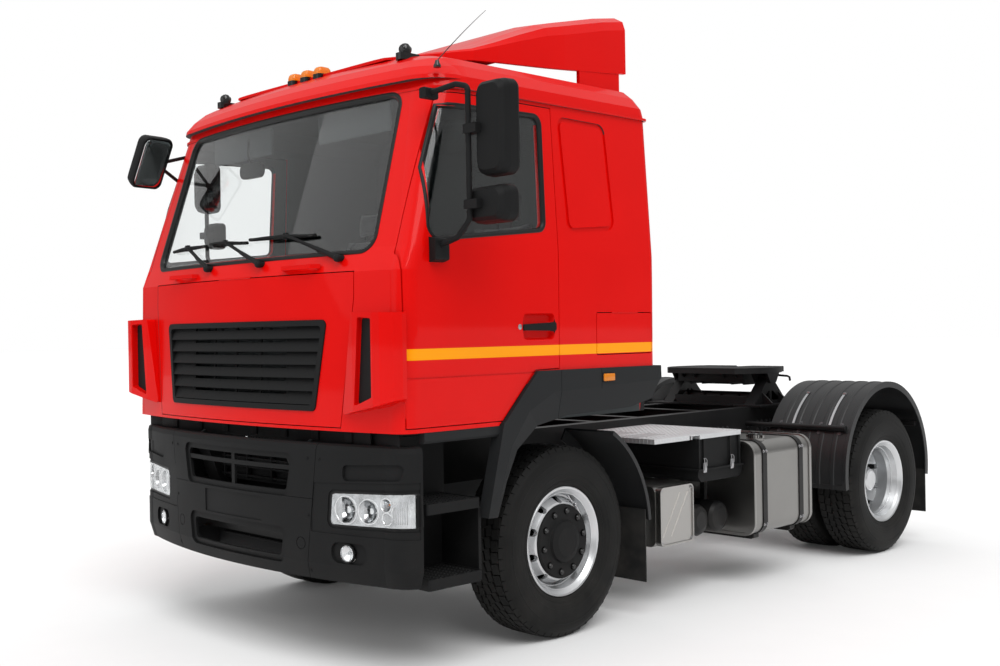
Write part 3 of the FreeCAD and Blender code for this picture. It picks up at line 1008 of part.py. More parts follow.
def flares():
    """Wheel-arch flares with the sills, corner deflectors and the roof spoiler."""
    rear = ARCH_REAR[0]
    # y and z at the inner edge, and where the outer face ends
    edge = [((-727.0, 755.0), (-727.0, 755.0)), ((-624.0, 750.0), (-662.0, 752.0)),
            ((-552.0, 932.0), (-606.0, 945.0)),
            ((-473.0, 1080.0), (-540.0, 1112.0)), ((-313.0, 1196.0), (-405.0, 1278.0)),
            ((-67.0, 1236.0), (-205.0, 1368.0)), ((483.0, 1250.0), (470.0, 1392.0)),
            ((rear - 49, 1291.0), (rear - 22, 1400.0)), ((rear + 3, 1377.0), (rear + 3, 1408.0)),
            (ARCH_REAR, ARCH_REAR), (ARCH_FRONT, ARCH_FRONT), ((-587.0, 1234.0), (-587.0, 1234.0)),
            ((-600.0, 1228.0), (-600.0, 1228.0))]
    inner = [a for a, b in edge]
    slope_x = FLARE_X - 30.0
    wires = [Part.makePolygon([V(x, y, z) for y, z in pts + [pts[0]]])
             for x, pts in ((slope_x, inner), (FLARE_X, [b for a, b in edge]))]
    flare = prism_x(inner, 1188, slope_x).fuse(Part.makeLoft(wires, True, True))
    flare = flare.cut(prism_x(inner, 1187, slope_x - FLARE_T, -FLARE_T))
    seams = [box(FLARE_X - 4, FLARE_X + 1, y, y + 3, 1372, 1500) for y in (DOOR_REAR - 2, 196.0)]
    seams.append(box(slope_x - 2, FLARE_X + 1, DOOR_REAR - 2, DOOR_REAR + 1, 1200, 1372))
    sill = prism_y([(1195, 1160), (1230, 1160), (1240, 1172), (1240, CAB_FLOOR - SEAL),
                    (1195, CAB_FLOOR - SEAL)],
                   -1140, -592)
    flare = flare.cut(seams).fuse(sill).removeSplitter()
    keep("arch_flares", flare, mirrored(flare))

    plan = [(862, -1300), (862, -1346), (975, -1366), (1140, -1379), (1185, -1373), (1240, -1336),
            (1258, -1290),
            (1256, -1262), (1226, -1258), (1150, -1285), (1100, -1285)]
    front = [(875, 1298), (1180, 1357), (1262, 1385), (1262, 1798), (968, 1804)]
    slot = [(985, 1345), (1128, 1392), (1128, 1772), (1022, 1778)]
    deflector = prism_z(plan, 1290, 1810).common(prism_y(front, -1500, -1200, 0, 16))
    deflector = deflector.cut(prism_y(slot, -1500, -1340, 0, 12)).cut(lofted(BODY_TABLE, -SEAL))
    deflector = sorted(deflector.Solids, key=lambda s: -s.Volume)[0]
    keep("corner_deflectors", deflector, mirrored(deflector))

    # y, half width at the foot, half width of the top, foot and top heights
    table = [(-862.0, 690.0, 600.0, 3150.0, 3167.0), (-462.0, 950.0, 800.0, 3158.0, 3238.0),
             (-304.0, 985.0, 850.0, 3162.0, 3300.0), (-141.0, 1005.0, 885.0, 3167.0, 3372.0),
             (70.0, 1022.0, 915.0, 3176.0, 3455.0), (201.0, 1030.0, 930.0, 3184.0, 3486.0),
             (560.0, 1035.0, 950.0, 3212.0, 3566.0), (760.0, 1035.0, 955.0, 3230.0, 3600.0)]

    def hoops(rows, inset, drop):
        wires = []
        for y, foot, top, z0, z1 in rows:
            k = min(1.0, (z1 - z0) / 300.0)
            foot, top, z1 = foot - inset, top - inset, z1 - inset
            half = [(foot, z0 - drop), (foot, z1 - 105 * k), (foot - 18, z1 - 52 * k), (top, z1 - 16 * k),
                    (top - 150, z1)]
            points = half + [(-x, z) for x, z in reversed(half)]
            wires.append(Part.makePolygon([V(x, y, z) for x, z in points + [points[0]]]))
        return Part.makeLoft(wires, True, True)

    spoiler = hoops(table, 0.0, 0.0)
    skin = 24.0
    last = table[-1]
    hollow = hoops(table[2:-1] + [(last[0] + 1,) + last[1:]], skin, 80.0)
    spoiler = spoiler.cut(hollow).cut(lofted(ROOF_TABLE, -SEAL))
    spoiler = sorted(spoiler.Solids, key=lambda s: -s.Volume)[0]
    foot = box(960, 1030, 330, 700, 3050, 3400).cut(lofted(ROOF_TABLE, -SEAL)).cut(spoiler).cut(hollow)
    foot = sorted(foot.Solids, key=lambda s: s.CenterOfMass.z)[0]
    keep("roof_spoiler", spoiler, foot, mirrored(foot))


def skin_y(x, z):
    """Station of the cab's front skin at a width and height above the flap."""
    rows = BODY_TABLE[1:]
    for low, high in zip(rows, rows[1:]):
        if z <= high[0]:
            break
    nose = low[2] + (high[2] - low[2]) * (z - low[0]) / (high[0] - low[0])
    return nose + BOW_R - math.sqrt(BOW_R ** 2 - x ** 2)


def wipers():
    """Three wipers parked across the foot of the windscreen."""
    # pivot x, arm end x, blade from x and z, to x and z
    for pivot_x, arm_x, x0, z0, x1, z1 in ((-281, -649, -842, 2208, -412, 2216), (221, -205, -380, 2225, 19,
                                                                                  2205),
                                          (823, 360, 39, 2220, 591, 2208)):
        out = GLASS_INSET - 9 - (x1 - x0) ** 2 / (8 * BOW_R) - 0.4
        blade = rod((x0, skin_y(x0, z0) + out, z0), (x1, skin_y(x1, z1) + out, z1), 9)
        arm = rod((pivot_x, skin_y(pivot_x, 2075) - 22, 2075), (arm_x, skin_y(arm_x, 2230) + out - 8, 2226),
                  8)
        post = rod((pivot_x, skin_y(pivot_x, 2075) - 32, 2075), (pivot_x, skin_y(pivot_x, 2075) + 5, 2075),
                   16)
        foot = box(arm_x - 16, arm_x + 16, skin_y(arm_x, 2230) + out - 14, skin_y(arm_x, 2230) + out, 2200,
                   2236)
        wiper = blade.fuse([arm, post, foot]).cut(lofted(BODY_TABLE, -SEAL).cut(
            prism_y(SCREEN, -2000, -900, 0, 70)))
        keep("wipers", *sorted(wiper.Solids, key=lambda w: -w.Volume)[:1])


def mirror_head(x0, x1, y0, y1, z0, z1, radius):
    """A mirror's housing: a rounded back, swelling to a rim with the glass let in at y1."""
    wires = []
    back_inset = 26.0
    radius = min(radius, (x1 - x0) / 2 - back_inset - 6)
    for y, inset in ((y0, back_inset), (y0 + 22, 9.0), (y0 + 55, 2.0), (y1 - 12, 0.0), (y1, 4.0)):
        face = face_of([V(x0 + inset, y, z0 + inset), V(x1 - inset, y, z0 + inset),
                        V(x1 - inset, y, z1 - inset),
                        V(x0 + inset, y, z1 - inset)], 0, radius)
        wires.append(face.OuterWire)
    head = Part.makeLoft(wires, True, True)
    lip = 10.0
    return head.cut(prism_y([(x0 + lip, z0 + lip), (x1 - lip, z0 + lip), (x1 - lip, z1 - lip),
                             (x0 + lip, z1 - lip)],
                            y1 - 5, y1 + 5, 0, radius - lip / 2))


def mirrors():
    """Side mirrors on tube frames, and the kerb mirror at the right front corner."""
    tube_r = 14.0
    # side, tube x and y, tube foot and top on the door, main head, wide-angle head (x0, x1, z0, z1)
    rows = (("left", 1470.0, -1040.0, (1480.0, 1676.0, 2432.0, 2884.0), (1418.0, 1668.0, 2212.0, 2390.0)),
            ("right", 1470.0, -600.0, (1496.0, 1676.0, 2545.0, 2884.0), (1440.0, 1560.0, 2290.0, 2470.0)))
    body = lofted(BODY_TABLE, -0.2)
    for side, x, y, main, wide in rows:
        tube = bent_bar([(1214, y - 20, 2862), (1400, y - 10, 2880), (x, y, 2860), (x, y, 2230),
                         (1400, y - 10, 2150), (1256, y - 20, 2110)], tube_r, 30)
        heads = [mirror_head(x0, x1, y + 18, y + 135, z0, z1, 46.0) for x0, x1, z0, z1 in (main, wide)]
        clamps = [box(x - 20, x + 64, y - 18, y + 48, z - 22, z + 22) for z in ((main[2] + main[3]) / 2,
                                                                                   (wide[2] + wide[3]) / 2)]
        feet = [prism_y([(1200, 2835), (1246, 2835), (1246, 2888), (1200, 2888)], y - 62, y + 24, 0, 10),
                prism_y([(1240, 2035), (1296, 2050), (1296, 2150), (1240, 2164)], y - 60, y + 34, 0, 12)]
        mirror = tube.fuse(heads + clamps + feet).cut(body)
        mirror = sorted(mirror.Solids, key=lambda s: -s.Volume)[0]
        keep("mirrors_" + side, mirror if side == "left" else mirrored(mirror))

    centre = V(-985, -1325, 2770)
    head = mirror_head(centre.x - 112, centre.x + 112, centre.y - 45, centre.y + 45, centre.z - 165,
                       centre.z + 165, 44.0)
    head.rotate(centre, V(0, 0, 1), 278)
    tilt = math.radians(8)
    head.rotate(centre, V(math.sin(tilt), -math.cos(tilt), 0), -28)
    head.translate(V(0, FRONT_END - head.BoundBox.YMin, 0))
    joint = V(-1065, -1225, 2770)
    arms = [rod(tuple(centre), tuple(joint), 13), rod(tuple(joint), (-1120, -935, 2850), 11),
            rod(tuple(joint), (-1150, -1010, 2680), 11), Part.makeSphere(19, joint)]
    kerb = head.fuse(arms).cut(lofted(BODY_TABLE, -0.2))
    keep("kerb_mirror", *sorted(kerb.Solids, key=lambda s: -s.Volume)[:1])


def cab_inside():
    """Dashboard, steering wheel, seats and bunk."""
    dash = prism_x([(-1205, 1850), (-1205, 2060), (-1130, 2080), (-900, 2040), (-800, 1960), (-800, 1840),
                    (-900, 1760), (-1100, 1700), (-1205, 1700)], -1090, 1090)
    centre = V(600, -640, 2000)
    way = V(0, 0.5, 0.866)
    ring = Part.makeTorus(225, 14, centre, way)
    hub = Part.makeCylinder(50, 40, centre - way * 50, way)
    across = V(0, 0.866, -0.5)
    spokes = []
    for turn in (-30, 90, 210):
        a = math.radians(turn)
        spokes.append(Part.makeCylinder(11, 222, centre - way * 12,
                                        V(1, 0, 0) * math.cos(a) - across * math.sin(a)))
    above_floor = box(-2000, 2000, -2000, 2000, CAB_FLOOR + FLOOR_T, 3000)
    column = Part.makeCylinder(35, 1000, centre - way * 50, way * -1).common(above_floor)
    around = Part.makeCylinder(35 + SEAL, 1000, centre - way * 50, way * -1)
    keep("steering_wheel", ring.fuse([hub, column] + spokes).removeSplitter())
    keep("dashboard", dash.common(lofted(BODY_TABLE, WALL + 6)).cut(around))
    for x in (600, -600):
        cushion = box(x - 250, x + 250, -480, 20, 1580, 1700)
        back = prism_x([(-40, 1700), (90, 1700), (190, 2330), (90, 2330)], x - 240, x + 240)
        base = box(x - 180, x + 180, -400, 0, CAB_FLOOR + FLOOR_T, 1580)
        head = box(x - 130, x + 130, 100, 190, 2330, 2500)
        keep("seats", cushion.fuse([back, base]), head)
    inside = CAB_HALF - WALL
    board = box(-1300, 1300, 210, CAB_BACK, 1800, 1830).common(lofted(BODY_TABLE, WALL + SEAL))
    keep("bunk", board,
         box(-inside + 40, inside - 40, 225, CAB_BACK - WALL - 15, 1830, 1940))


front_wheels()
rear_wheels()
front_axle()
rear_axle()
springs()
frame()
tail()
fifth_wheel()
engine()
tanks()
side_boxes()
mudguards()
bumper()
steps()
cab()
grille()
flares()
mirrors()
cab_inside()
wipers()

os.makedirs("parts", exist_ok=True)
for name, solids in parts.items():
    shape = solids[0] if len(solids) == 1 else Part.makeCompound(solids)
    shape = shape.copy()
    shape.translate(V(0, -ORIGIN_Y, 0))
    shape.exportStep("parts/" + name + ".step")
    print(name, len(shape.Solids), "valid" if shape.isValid() else "NOT VALID", round(shape.Volume / 1e9, 4))
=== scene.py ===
"""Looks of a cab-over tractor unit, built around its packed construction model.

Every piece stands in the frame of the construction model: metres, the front of the truck
towards -Y, its left side towards +X and the ground at Z = 0.
"""
import json
import logging
from dataclasses import dataclass, field
from enum import Enum
from math import atan2, ceil, copysign, cos, dist, exp, hypot, pi, radians, sin, tan
from typing import Callable, Optional, Sequence

import bmesh
import bpy
from mathutils import Matrix, Vector
from mathutils.bvhtree import BVHTree


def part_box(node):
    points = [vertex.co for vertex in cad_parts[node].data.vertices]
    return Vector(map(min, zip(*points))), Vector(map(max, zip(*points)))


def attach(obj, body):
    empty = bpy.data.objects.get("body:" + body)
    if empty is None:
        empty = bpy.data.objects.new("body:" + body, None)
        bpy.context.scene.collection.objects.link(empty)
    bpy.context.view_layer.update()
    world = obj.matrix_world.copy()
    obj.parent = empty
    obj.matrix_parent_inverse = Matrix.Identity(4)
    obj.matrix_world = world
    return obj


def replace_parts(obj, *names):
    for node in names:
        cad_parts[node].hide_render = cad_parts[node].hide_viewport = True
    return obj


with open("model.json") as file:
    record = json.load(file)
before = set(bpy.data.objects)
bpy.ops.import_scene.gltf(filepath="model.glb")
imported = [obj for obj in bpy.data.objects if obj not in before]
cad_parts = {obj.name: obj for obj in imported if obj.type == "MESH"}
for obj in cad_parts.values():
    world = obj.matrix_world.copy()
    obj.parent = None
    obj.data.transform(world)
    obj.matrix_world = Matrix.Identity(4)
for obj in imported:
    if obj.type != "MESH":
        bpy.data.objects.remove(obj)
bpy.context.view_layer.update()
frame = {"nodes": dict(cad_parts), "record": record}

LOG = logging.getLogger("tractor")
Mesh, Piece, Socket = bpy.types.Mesh, bpy.types.Object, bpy.types.NodeSocket
Point = tuple[float, float, float]
Co = Sequence[float]
Outline = Sequence[tuple[float, float]]
Places = Sequence[tuple[Co, Co]]    # points, each with the way that it faces

AXLE_Y = -1.408              # station of the front axle in this frame
WHEELBASE = 3.55
AXLE_Z = 0.531
SIDES = ((1, "left"), (-1, "right"))


# ------------------------------------------------------------------ node trees
class Tree:
    """Short calls for building a shader, group or geometry node tree."""

    def __init__(self, tree: bpy.types.NodeTree) -> None:
        """Starts on a node tree and empties it."""
        self.tree = tree
        tree.nodes.clear()

    def add(self, kind: str, inputs: Optional[dict] = None, **settings) -> bpy.types.Node:
        """Adds a node, sets its properties and fills or links its inputs.

        Args:
            kind: The node's type name.
            inputs: Values or output sockets by input name or index.
            **settings: Properties of the node.

        Returns:
            The new node.
        """
        node = self.tree.nodes.new(kind)
        for key, value in settings.items():
            setattr(node, key, value)
        for key, value in (inputs or {}).items():
            if isinstance(value, Socket):
                self.tree.links.new(value, node.inputs[key])
            else:
                node.inputs[key].default_value = value
        return node

    def out(self, kind: str, inputs: Optional[dict] = None, key: object = 0, **settings) -> Socket:
        """Adds a node as add() does and returns its output of that name or index."""
        return self.add(kind, inputs, **settings).outputs[key]

    def math(self, operation: str, a: object, b: object = 0.0) -> Socket:
        """Adds a math node and returns its result."""
        return self.out("ShaderNodeMath", {0: a, 1: b}, operation=operation)

    def mul(self, a: object, b: object) -> Socket:
        """Multiplies two values."""
        return self.math("MULTIPLY", a, b)

    def mix(self, factor: Socket, a: object, b: object) -> Socket:
        """Mixes two colours, given as sockets or as three numbers, and returns the result."""
        a, b = (c if isinstance(c, Socket) else (*c, 1.0) for c in (a, b))
        return self.out("ShaderNodeMix", {0: factor, 6: a, 7: b}, 2, data_type="RGBA")

    def ramp(self, value: Socket, low: float, high: float, start: float = 0.0, end: float = 1.0) -> Socket:
        """Maps a value from low-high to start-end and returns it, held within the ends."""
        return self.out("ShaderNodeMapRange", {0: value, 1: low, 2: high, 3: start, 4: end})

    def split(self, vector: Socket) -> Sequence[Socket]:
        """The X, Y and Z of a vector."""
        return self.add("ShaderNodeSeparateXYZ", {0: vector}).outputs

    def noise(self, place: Socket, scale: object, detail: object = 2.0) -> Socket:
        """Cloudy noise from 0 to 1."""
        return self.out("ShaderNodeTexNoise", {"Vector": place, "Scale": scale, "Detail": detail})

    def spot(self) -> Socket:
        """The shaded point in the object's own coordinates."""
        return self.out("ShaderNodeTexCoord", key="Object")


class Effect(Enum):
    """The shared surface effects, each a shader node group with these inputs and defaults."""

    GRAIN = {"Scale": 900.0, "Height": 0.1}
    MOTTLE = {"Scale": 2.0, "Detail": 4.0}
    DUST = {"Top": 1.2, "Amount": 0.4}
    BRUSH = {"Scale": 60.0, "Height": 0.08}
    CHEQUER = {"Pitch": 0.03, "Height": 0.6}
    WEAVE = {"Scale": 260.0, "Height": 0.5}
    PEEL = {"Scale": 90.0, "Height": 0.02}


Ends = dict[str, Socket]


class EffectLibrary:
    """Builds each shared effect's node group on first use; each effect has a method of its name."""

    def __init__(self) -> None:
        """Starts with no group built."""
        self.groups: dict[Effect, bpy.types.NodeTree] = {}

    def use(self, t: Tree, effect: Effect, output: str, **values: float) -> Socket:
        """Places an effect's group in a tree.

        Args:
            t: The tree.
            effect: The effect.
            output: Which of its outputs is wanted, Normal or Mask.
            **values: Its inputs.

        Returns:
            The output.
        """
        if effect not in self.groups:
            self.groups[effect] = self.build(effect)
        return t.out("ShaderNodeGroup", values, output, node_tree=self.groups[effect])

    def build(self, effect: Effect) -> bpy.types.NodeTree:
        """Builds the node group of one effect.

        Args:
            effect: The effect to build.

        Returns:
            The new node group, with named inputs and outputs.
        """
        name = effect.name.lower()
        tree = bpy.data.node_groups.new(name, "ShaderNodeTree")
        face = tree.interface
        for key, value in effect.value.items():
            face.new_socket(name=key, in_out="INPUT", socket_type="NodeSocketFloat").default_value = value
        t = Tree(tree)
        start = {socket.name: socket for socket in t.add("NodeGroupInput").outputs}
        ends = getattr(self, name)(t, start, t.spot())
        for key in ends:
            kind = "NodeSocketVector" if key == "Normal" else "NodeSocketFloat"
            face.new_socket(name=key, in_out="OUTPUT", socket_type=kind)
        t.add("NodeGroupOutput", ends)
        return tree

    @staticmethod
    def bump(t: Tree, start: Ends, height: Socket, deep: float) -> Ends:
        """The normal of a bumped height, with the height as the mask."""
        inputs = {"Strength": start["Height"], "Distance": deep, "Height": height}
        return {"Normal": t.out("ShaderNodeBump", inputs), "Mask": height}

    def grain(self, t: Tree, start: Ends, place: Socket) -> Ends:
        """Fine pebbled grain."""
        cells = t.out("ShaderNodeTexVoronoi", {"Vector": place, "Scale": start["Scale"]}, feature="SMOOTH_F1")
        return self.bump(t, start, cells, 0.0006)

    def mottle(self, t: Tree, start: Ends, place: Socket) -> Ends:
        """Slow cloudy change of tone from 0 to 1."""
        return {"Mask": t.ramp(t.noise(place, start["Scale"], start["Detail"]), 0.3, 0.7)}

    def dust(self, t: Tree, start: Ends, place: Socket) -> Ends:
        """More dust lower down, broken up by noise.

        Args:
            t: The tree.
            start: The group's inputs.
            place: The point that is shaded.

        Returns:
            The mask.
        """
        low = t.math("SUBTRACT", 1.0, t.math("DIVIDE", t.split(place)[2], start["Top"]))
        broken = t.mul(t.math("MAXIMUM", low, 0.0), t.ramp(t.noise(place, 6.0, 8.0), 0.35, 0.75))
        return {"Mask": t.mul(broken, start["Amount"])}

    def brush(self, t: Tree, start: Ends, place: Socket) -> Ends:
        """Fine straight streaks along Y."""
        stretched = t.out("ShaderNodeMapping", {"Vector": place, "Scale": (4.0, 0.12, 4.0)})
        return self.bump(t, start, t.noise(stretched, start["Scale"], 5.0), 0.001)

    def chequer(self, t: Tree, start: Ends, place: Socket) -> Ends:
        """Raised dashes set crosswise, as on tread plate.

        Args:
            t: The tree.
            start: The group's inputs.
            place: The point that is shaded.

        Returns:
            The normal and the mask.
        """
        x, y, _ = t.split(place)
        u, v = (t.math("DIVIDE", t.math(way, x, y), start["Pitch"]) for way in ("ADD", "SUBTRACT"))
        cell = t.math("MODULO", t.math("ADD", t.math("FLOOR", u), t.math("FLOOR", v)), 2.0)
        fu, fv = (t.math("ABSOLUTE", t.math("SUBTRACT", t.math("FRACT", w), 0.5)) for w in (u, v))
        one, two = (t.mul(t.ramp(a, 0.1, 0.16, 1.0, 0.0), t.ramp(b, 0.34, 0.42, 1.0, 0.0))
                    for a, b in ((fu, fv), (fv, fu)))
        flip = t.math("ABSOLUTE", cell)
        mask = t.math("ADD", t.mul(one, flip), t.mul(two, t.math("SUBTRACT", 1.0, flip)))
        return self.bump(t, start, mask, 0.002)

    def weave(self, t: Tree, start: Ends, place: Socket) -> Ends:
        """Plain weave of crossing threads.

        Args:
            t: The tree.
            start: The group's inputs.
            place: The point that is shaded.

        Returns:
            The normal and the mask.
        """
        one, two = (t.out("ShaderNodeTexWave", {"Vector": place, "Scale": start["Scale"]}, 1, bands_direction=way)
                    for way in "XZ")
        return self.bump(t, start, t.mul(one, two), 0.0008)

    def peel(self, t: Tree, start: Ends, place: Socket) -> Ends:
        """Very soft waves in sprayed paint."""
        return self.bump(t, start, t.noise(place, start["Scale"], 1.0), 0.002)


EFFECTS = EffectLibrary()


def new_material(name: str) -> tuple[bpy.types.Material, Tree]:
    """An empty material and its tree.

    Args:
        name: The material's name.

    Returns:
        The material and its emptied tree.
    """
    material = bpy.data.materials.new(name)
    material.use_nodes = True
    return material, Tree(material.node_tree)


@dataclass(frozen=True)
class Finish:
    """A surface finish: its colour and gloss, and how much of each shared effect it shows.

    The relief is an effect with its scale and height; dust is an amount and how high it reaches.
    """

    name: str
    colour: Point
    roughness: float = 0.5
    mottle: float = 0.08
    relief: Optional[tuple[Effect, float, float]] = None
    dust: tuple[float, float] = (0.0, 1.2)
    metallic: float = 0.0
    specular: float = 0.5
    coat: float = 0.0
    sheen: float = 0.0
    mottle_scale: float = 3.0

    DUST_TONE = (0.16, 0.145, 0.125)

    def build(self) -> bpy.types.Material:
        """Builds the finish's material, with its effects joined in."""
        material, t = new_material(self.name)
        tone = EFFECTS.use(t, Effect.MOTTLE, "Mask", Scale=self.mottle_scale)
        dark, light = (tuple(min(1.0, c * (1.0 + way * self.mottle)) for c in self.colour) for way in (-1, 1))
        colour = self.marks(t, t.mix(tone, dark, light))
        rough = t.ramp(tone, 0.0, 1.0, self.roughness * 0.92, min(1.0, self.roughness * 1.08))
        if self.dust[0]:
            dirt = EFFECTS.use(t, Effect.DUST, "Mask", Amount=self.dust[0], Top=self.dust[1])
            colour = t.mix(dirt, colour, self.DUST_TONE)
            rough = t.math("MAXIMUM", rough, t.mul(dirt, 0.9))
        inputs = {"Base Color": colour, "Roughness": rough, "Metallic": self.metallic, "Coat Weight": self.coat,
                  "Coat Roughness": 0.04, "Sheen Weight": self.sheen, "Specular IOR Level": self.specular}
        if self.relief:
            effect, scale, height = self.relief
            size = "Pitch" if effect is Effect.CHEQUER else "Scale"
            inputs["Normal"] = EFFECTS.use(t, effect, "Normal", **{size: scale, "Height": height})
        t.add("ShaderNodeOutputMaterial", {"Surface": t.out("ShaderNodeBsdfPrincipled", inputs)})
        return material

    def marks(self, t: Tree, colour: Socket) -> Socket:
        """Adds what is painted over the base colour; a plain finish has nothing."""
        return colour


@dataclass(frozen=True)
class CabPaint(Finish):
    """Gloss cab paint with a band of a second colour along both sides."""

    band_colour: Point = (0.94, 0.33, 0.0)
    band_z: tuple[float, float] = (1.565, 1.62)
    band_y: tuple[float, float] = (AXLE_Y - 1.238, AXLE_Y + 0.715)
    band_out: float = 1.2

    def marks(self, t: Tree, colour: Socket) -> Socket:
        """Paints the band where a point lies between its edges on either side of the cab.

        Args:
            t: The tree.
            colour: The base colour.

        Returns:
            The colour with the marks on it.
        """
        x, y, z = t.split(t.spot())
        inside, along = (t.mul(t.math("GREATER_THAN", value, low), t.math("LESS_THAN", value, high))
                         for value, (low, high) in ((z, self.band_z), (y, self.band_y)))
        out = t.math("GREATER_THAN", t.math("ABSOLUTE", x), self.band_out)
        return t.mix(t.mul(t.mul(inside, along), out), colour, self.band_colour)


@dataclass(frozen=True)
class Glazing:
    """Clear or tinted glass."""

    name: str
    tint: Point
    roughness: float = 0.0
    clear: float = 1.0
    ior: float = 1.45

    def build(self) -> bpy.types.Material:
        """Builds the glass material."""
        material, t = new_material(self.name)
        tone = EFFECTS.use(t, Effect.MOTTLE, "Mask")
        inputs = {"Base Color": t.mix(tone, self.tint, tuple(c * 0.97 for c in self.tint)),
                  "Roughness": self.roughness, "IOR": self.ior, "Transmission Weight": self.clear}
        t.add("ShaderNodeOutputMaterial", {"Surface": t.out("ShaderNodeBsdfPrincipled", inputs)})
        return material


class Finishes:
    """Every finish of the truck, built on first use and shared by its pieces."""

    KINDS: dict[str, object] = {
        "cab_paint": CabPaint("cab_paint", (0.665, 0.0025, 0.0015), 0.3, 0.02,
                              (Effect.PEEL, 60.0, 0.012), specular=0.05, coat=0.2),
        "charcoal": Finish("charcoal_plastic", (0.0095, 0.0097, 0.01), 0.55, 0.1,
                           (Effect.GRAIN, 700.0, 0.12), (0.06, 0.9), specular=0.12),
        "dark_grey": Finish("dark_grey_plastic", (0.0175, 0.0185, 0.0195), 0.55, 0.08,
                            (Effect.GRAIN, 700.0, 0.12), (0.06, 1.4), specular=0.12),
        "tyre": Finish("tyre_rubber", (0.0085, 0.0085, 0.0083), 0.62, 0.25,
                       (Effect.GRAIN, 500.0, 0.12), (0.07, 1.1), specular=0.15),
        "silver": Finish("silver_wheel_paint", (0.64, 0.65, 0.66), 0.3, 0.05,
                         (Effect.PEEL, 300.0, 0.05), (0.12, 1.0), metallic=0.85),
        "frame_black": Finish("black_frame_paint", (0.008, 0.008, 0.0085), 0.42, 0.2,
                              (Effect.PEEL, 120.0, 0.06), (0.14, 1.2), specular=0.2),
        "cast_black": Finish("black_castings", (0.012, 0.012, 0.0125), 0.6, 0.25,
                             (Effect.GRAIN, 220.0, 0.3), (0.18, 1.2), specular=0.2),
        # Painted shade: a darker, duller copy of the black plastic, for the sheets, slats and rings that stand for the
        # shade behind the openings, inside the wheels and in the radiator.
        "painted_shade": Finish("shaded_black_plastic", (0.007, 0.007, 0.0075), 0.75, 0.2,
                      (Effect.GRAIN, 300.0, 0.15), specular=0.2),
        "brushed": Finish("brushed_aluminium", (0.43, 0.42, 0.405), 0.36, 0.06,
                          (Effect.BRUSH, 60.0, 0.12), (0.15, 1.1), metallic=1.0),
        "tank_metal": Finish("dark_brushed_metal", (0.27, 0.265, 0.255), 0.33, 0.08,
                             (Effect.BRUSH, 40.0, 0.1), (0.1, 1.0), metallic=1.0),
        "tread_plate": Finish("tread_plate", (0.66, 0.67, 0.68), 0.46, 0.08,
                              (Effect.CHEQUER, 0.028, 0.9), metallic=0.7),
        "fender": Finish("fender_plastic", (0.014, 0.0144, 0.0152), 0.44, 0.1,
                         (Effect.GRAIN, 500.0, 0.08), (0.08, 1.0), specular=0.35),
        "rubber": Finish("flap_rubber", (0.011, 0.011, 0.011), 0.8, 0.2,
                         (Effect.GRAIN, 300.0, 0.2), (0.3, 1.0), specular=0.3),
        "seal": Finish("seal_rubber", (0.0035, 0.0035, 0.0035), 0.42, 0.1, (Effect.GRAIN, 900.0, 0.08), specular=0.3),
        "black_gloss": Finish("gloss_black", (0.006, 0.006, 0.006), 0.16, 0.1, (Effect.PEEL, 80.0, 0.03), specular=0.5),
        "bolt_steel": Finish("dark_bolt_steel", (0.1, 0.1, 0.105), 0.45, 0.15,
                             (Effect.PEEL, 400.0, 0.08), metallic=0.85),
        "dull_metal": Finish("zinc_plated_steel", (0.42, 0.42, 0.43), 0.38, 0.1,
                             (Effect.PEEL, 400.0, 0.08), metallic=0.95),
        "lamp_metal": Finish("lamp_housing_metal", (0.5, 0.51, 0.52), 0.2, 0.25,
                             (Effect.PEEL, 30.0, 0.25), metallic=1.0, mottle_scale=14.0),
        "chrome": Finish("chromed_reflector", (0.72, 0.73, 0.74), 0.1, 0.03, (Effect.PEEL, 60.0, 0.02), metallic=1.0),
        "mirror": Finish("silvered_glass", (0.62, 0.66, 0.66), 0.03, 0.02, metallic=1.0),
        "trim": Finish("soft_grey_trim", (0.036, 0.044, 0.046), 0.75, 0.06, (Effect.GRAIN, 900.0, 0.02)),
        "cloth": Finish("seat_cloth", (0.04, 0.042, 0.046), 0.92, 0.15, (Effect.WEAVE, 260.0, 0.25), sheen=0.3),
        "cloth_light": Finish("seat_cloth_panel", (0.085, 0.088, 0.095), 0.92, 0.12,
                              (Effect.WEAVE, 200.0, 0.6), sheen=0.3),
        "engine": Finish("engine_paint", (0.05, 0.053, 0.056), 0.5, 0.25, (Effect.GRAIN, 160.0, 0.3), metallic=0.2),
        "glass": Glazing("cab_glass", (0.955, 0.972, 0.97), ior=1.34),
        "lens": Glazing("clear_lens", (0.985, 0.99, 0.99), ior=1.12),
        "amber": Glazing("amber_lens", (1.0, 0.3, 0.01), 0.1, 0.35),
        "red_lens": Glazing("red_lens", (0.72, 0.01, 0.01), 0.12, 0.3),
        "white_lens": Glazing("white_lens", (0.85, 0.87, 0.88), 0.12, 0.5),
    }
    built: dict[str, bpy.types.Material] = {}

    @classmethod
    def get(cls, name: str) -> bpy.types.Material:
        """Returns a finish's material by its short name.

        Args:
            name: The finish's short name.

        Returns:
            Its material.
        """
        if name not in cls.built:
            cls.built[name] = cls.KINDS[name].build()
        return cls.built[name]


# ------------------------------------------------------------------ mesh helpers
def station(y: float) -> float:
    """A distance behind the front axle as a Y in this frame, metres."""
    return AXLE_Y + y


def linked(name: str, data: bpy.types.ID) -> Piece:
    """A new object of the scene.

    Args:
        name: The object's name.
        data: Its mesh, lamp or camera.

    Returns:
        The new object.
    """
    made = bpy.data.objects.new(name, data)
    bpy.context.scene.collection.objects.link(made)
    return made


def evaluated(holder: Piece) -> Mesh:
    """An object's mesh with its modifiers applied; they are taken off it.

    Args:
        holder: The object with the modifiers.

    Returns:
        The finished mesh.
    """
    graph = bpy.context.evaluated_depsgraph_get()
    mesh = bpy.data.meshes.new_from_object(holder.evaluated_get(graph), depsgraph=graph)
    holder.modifiers.clear()
    return mesh


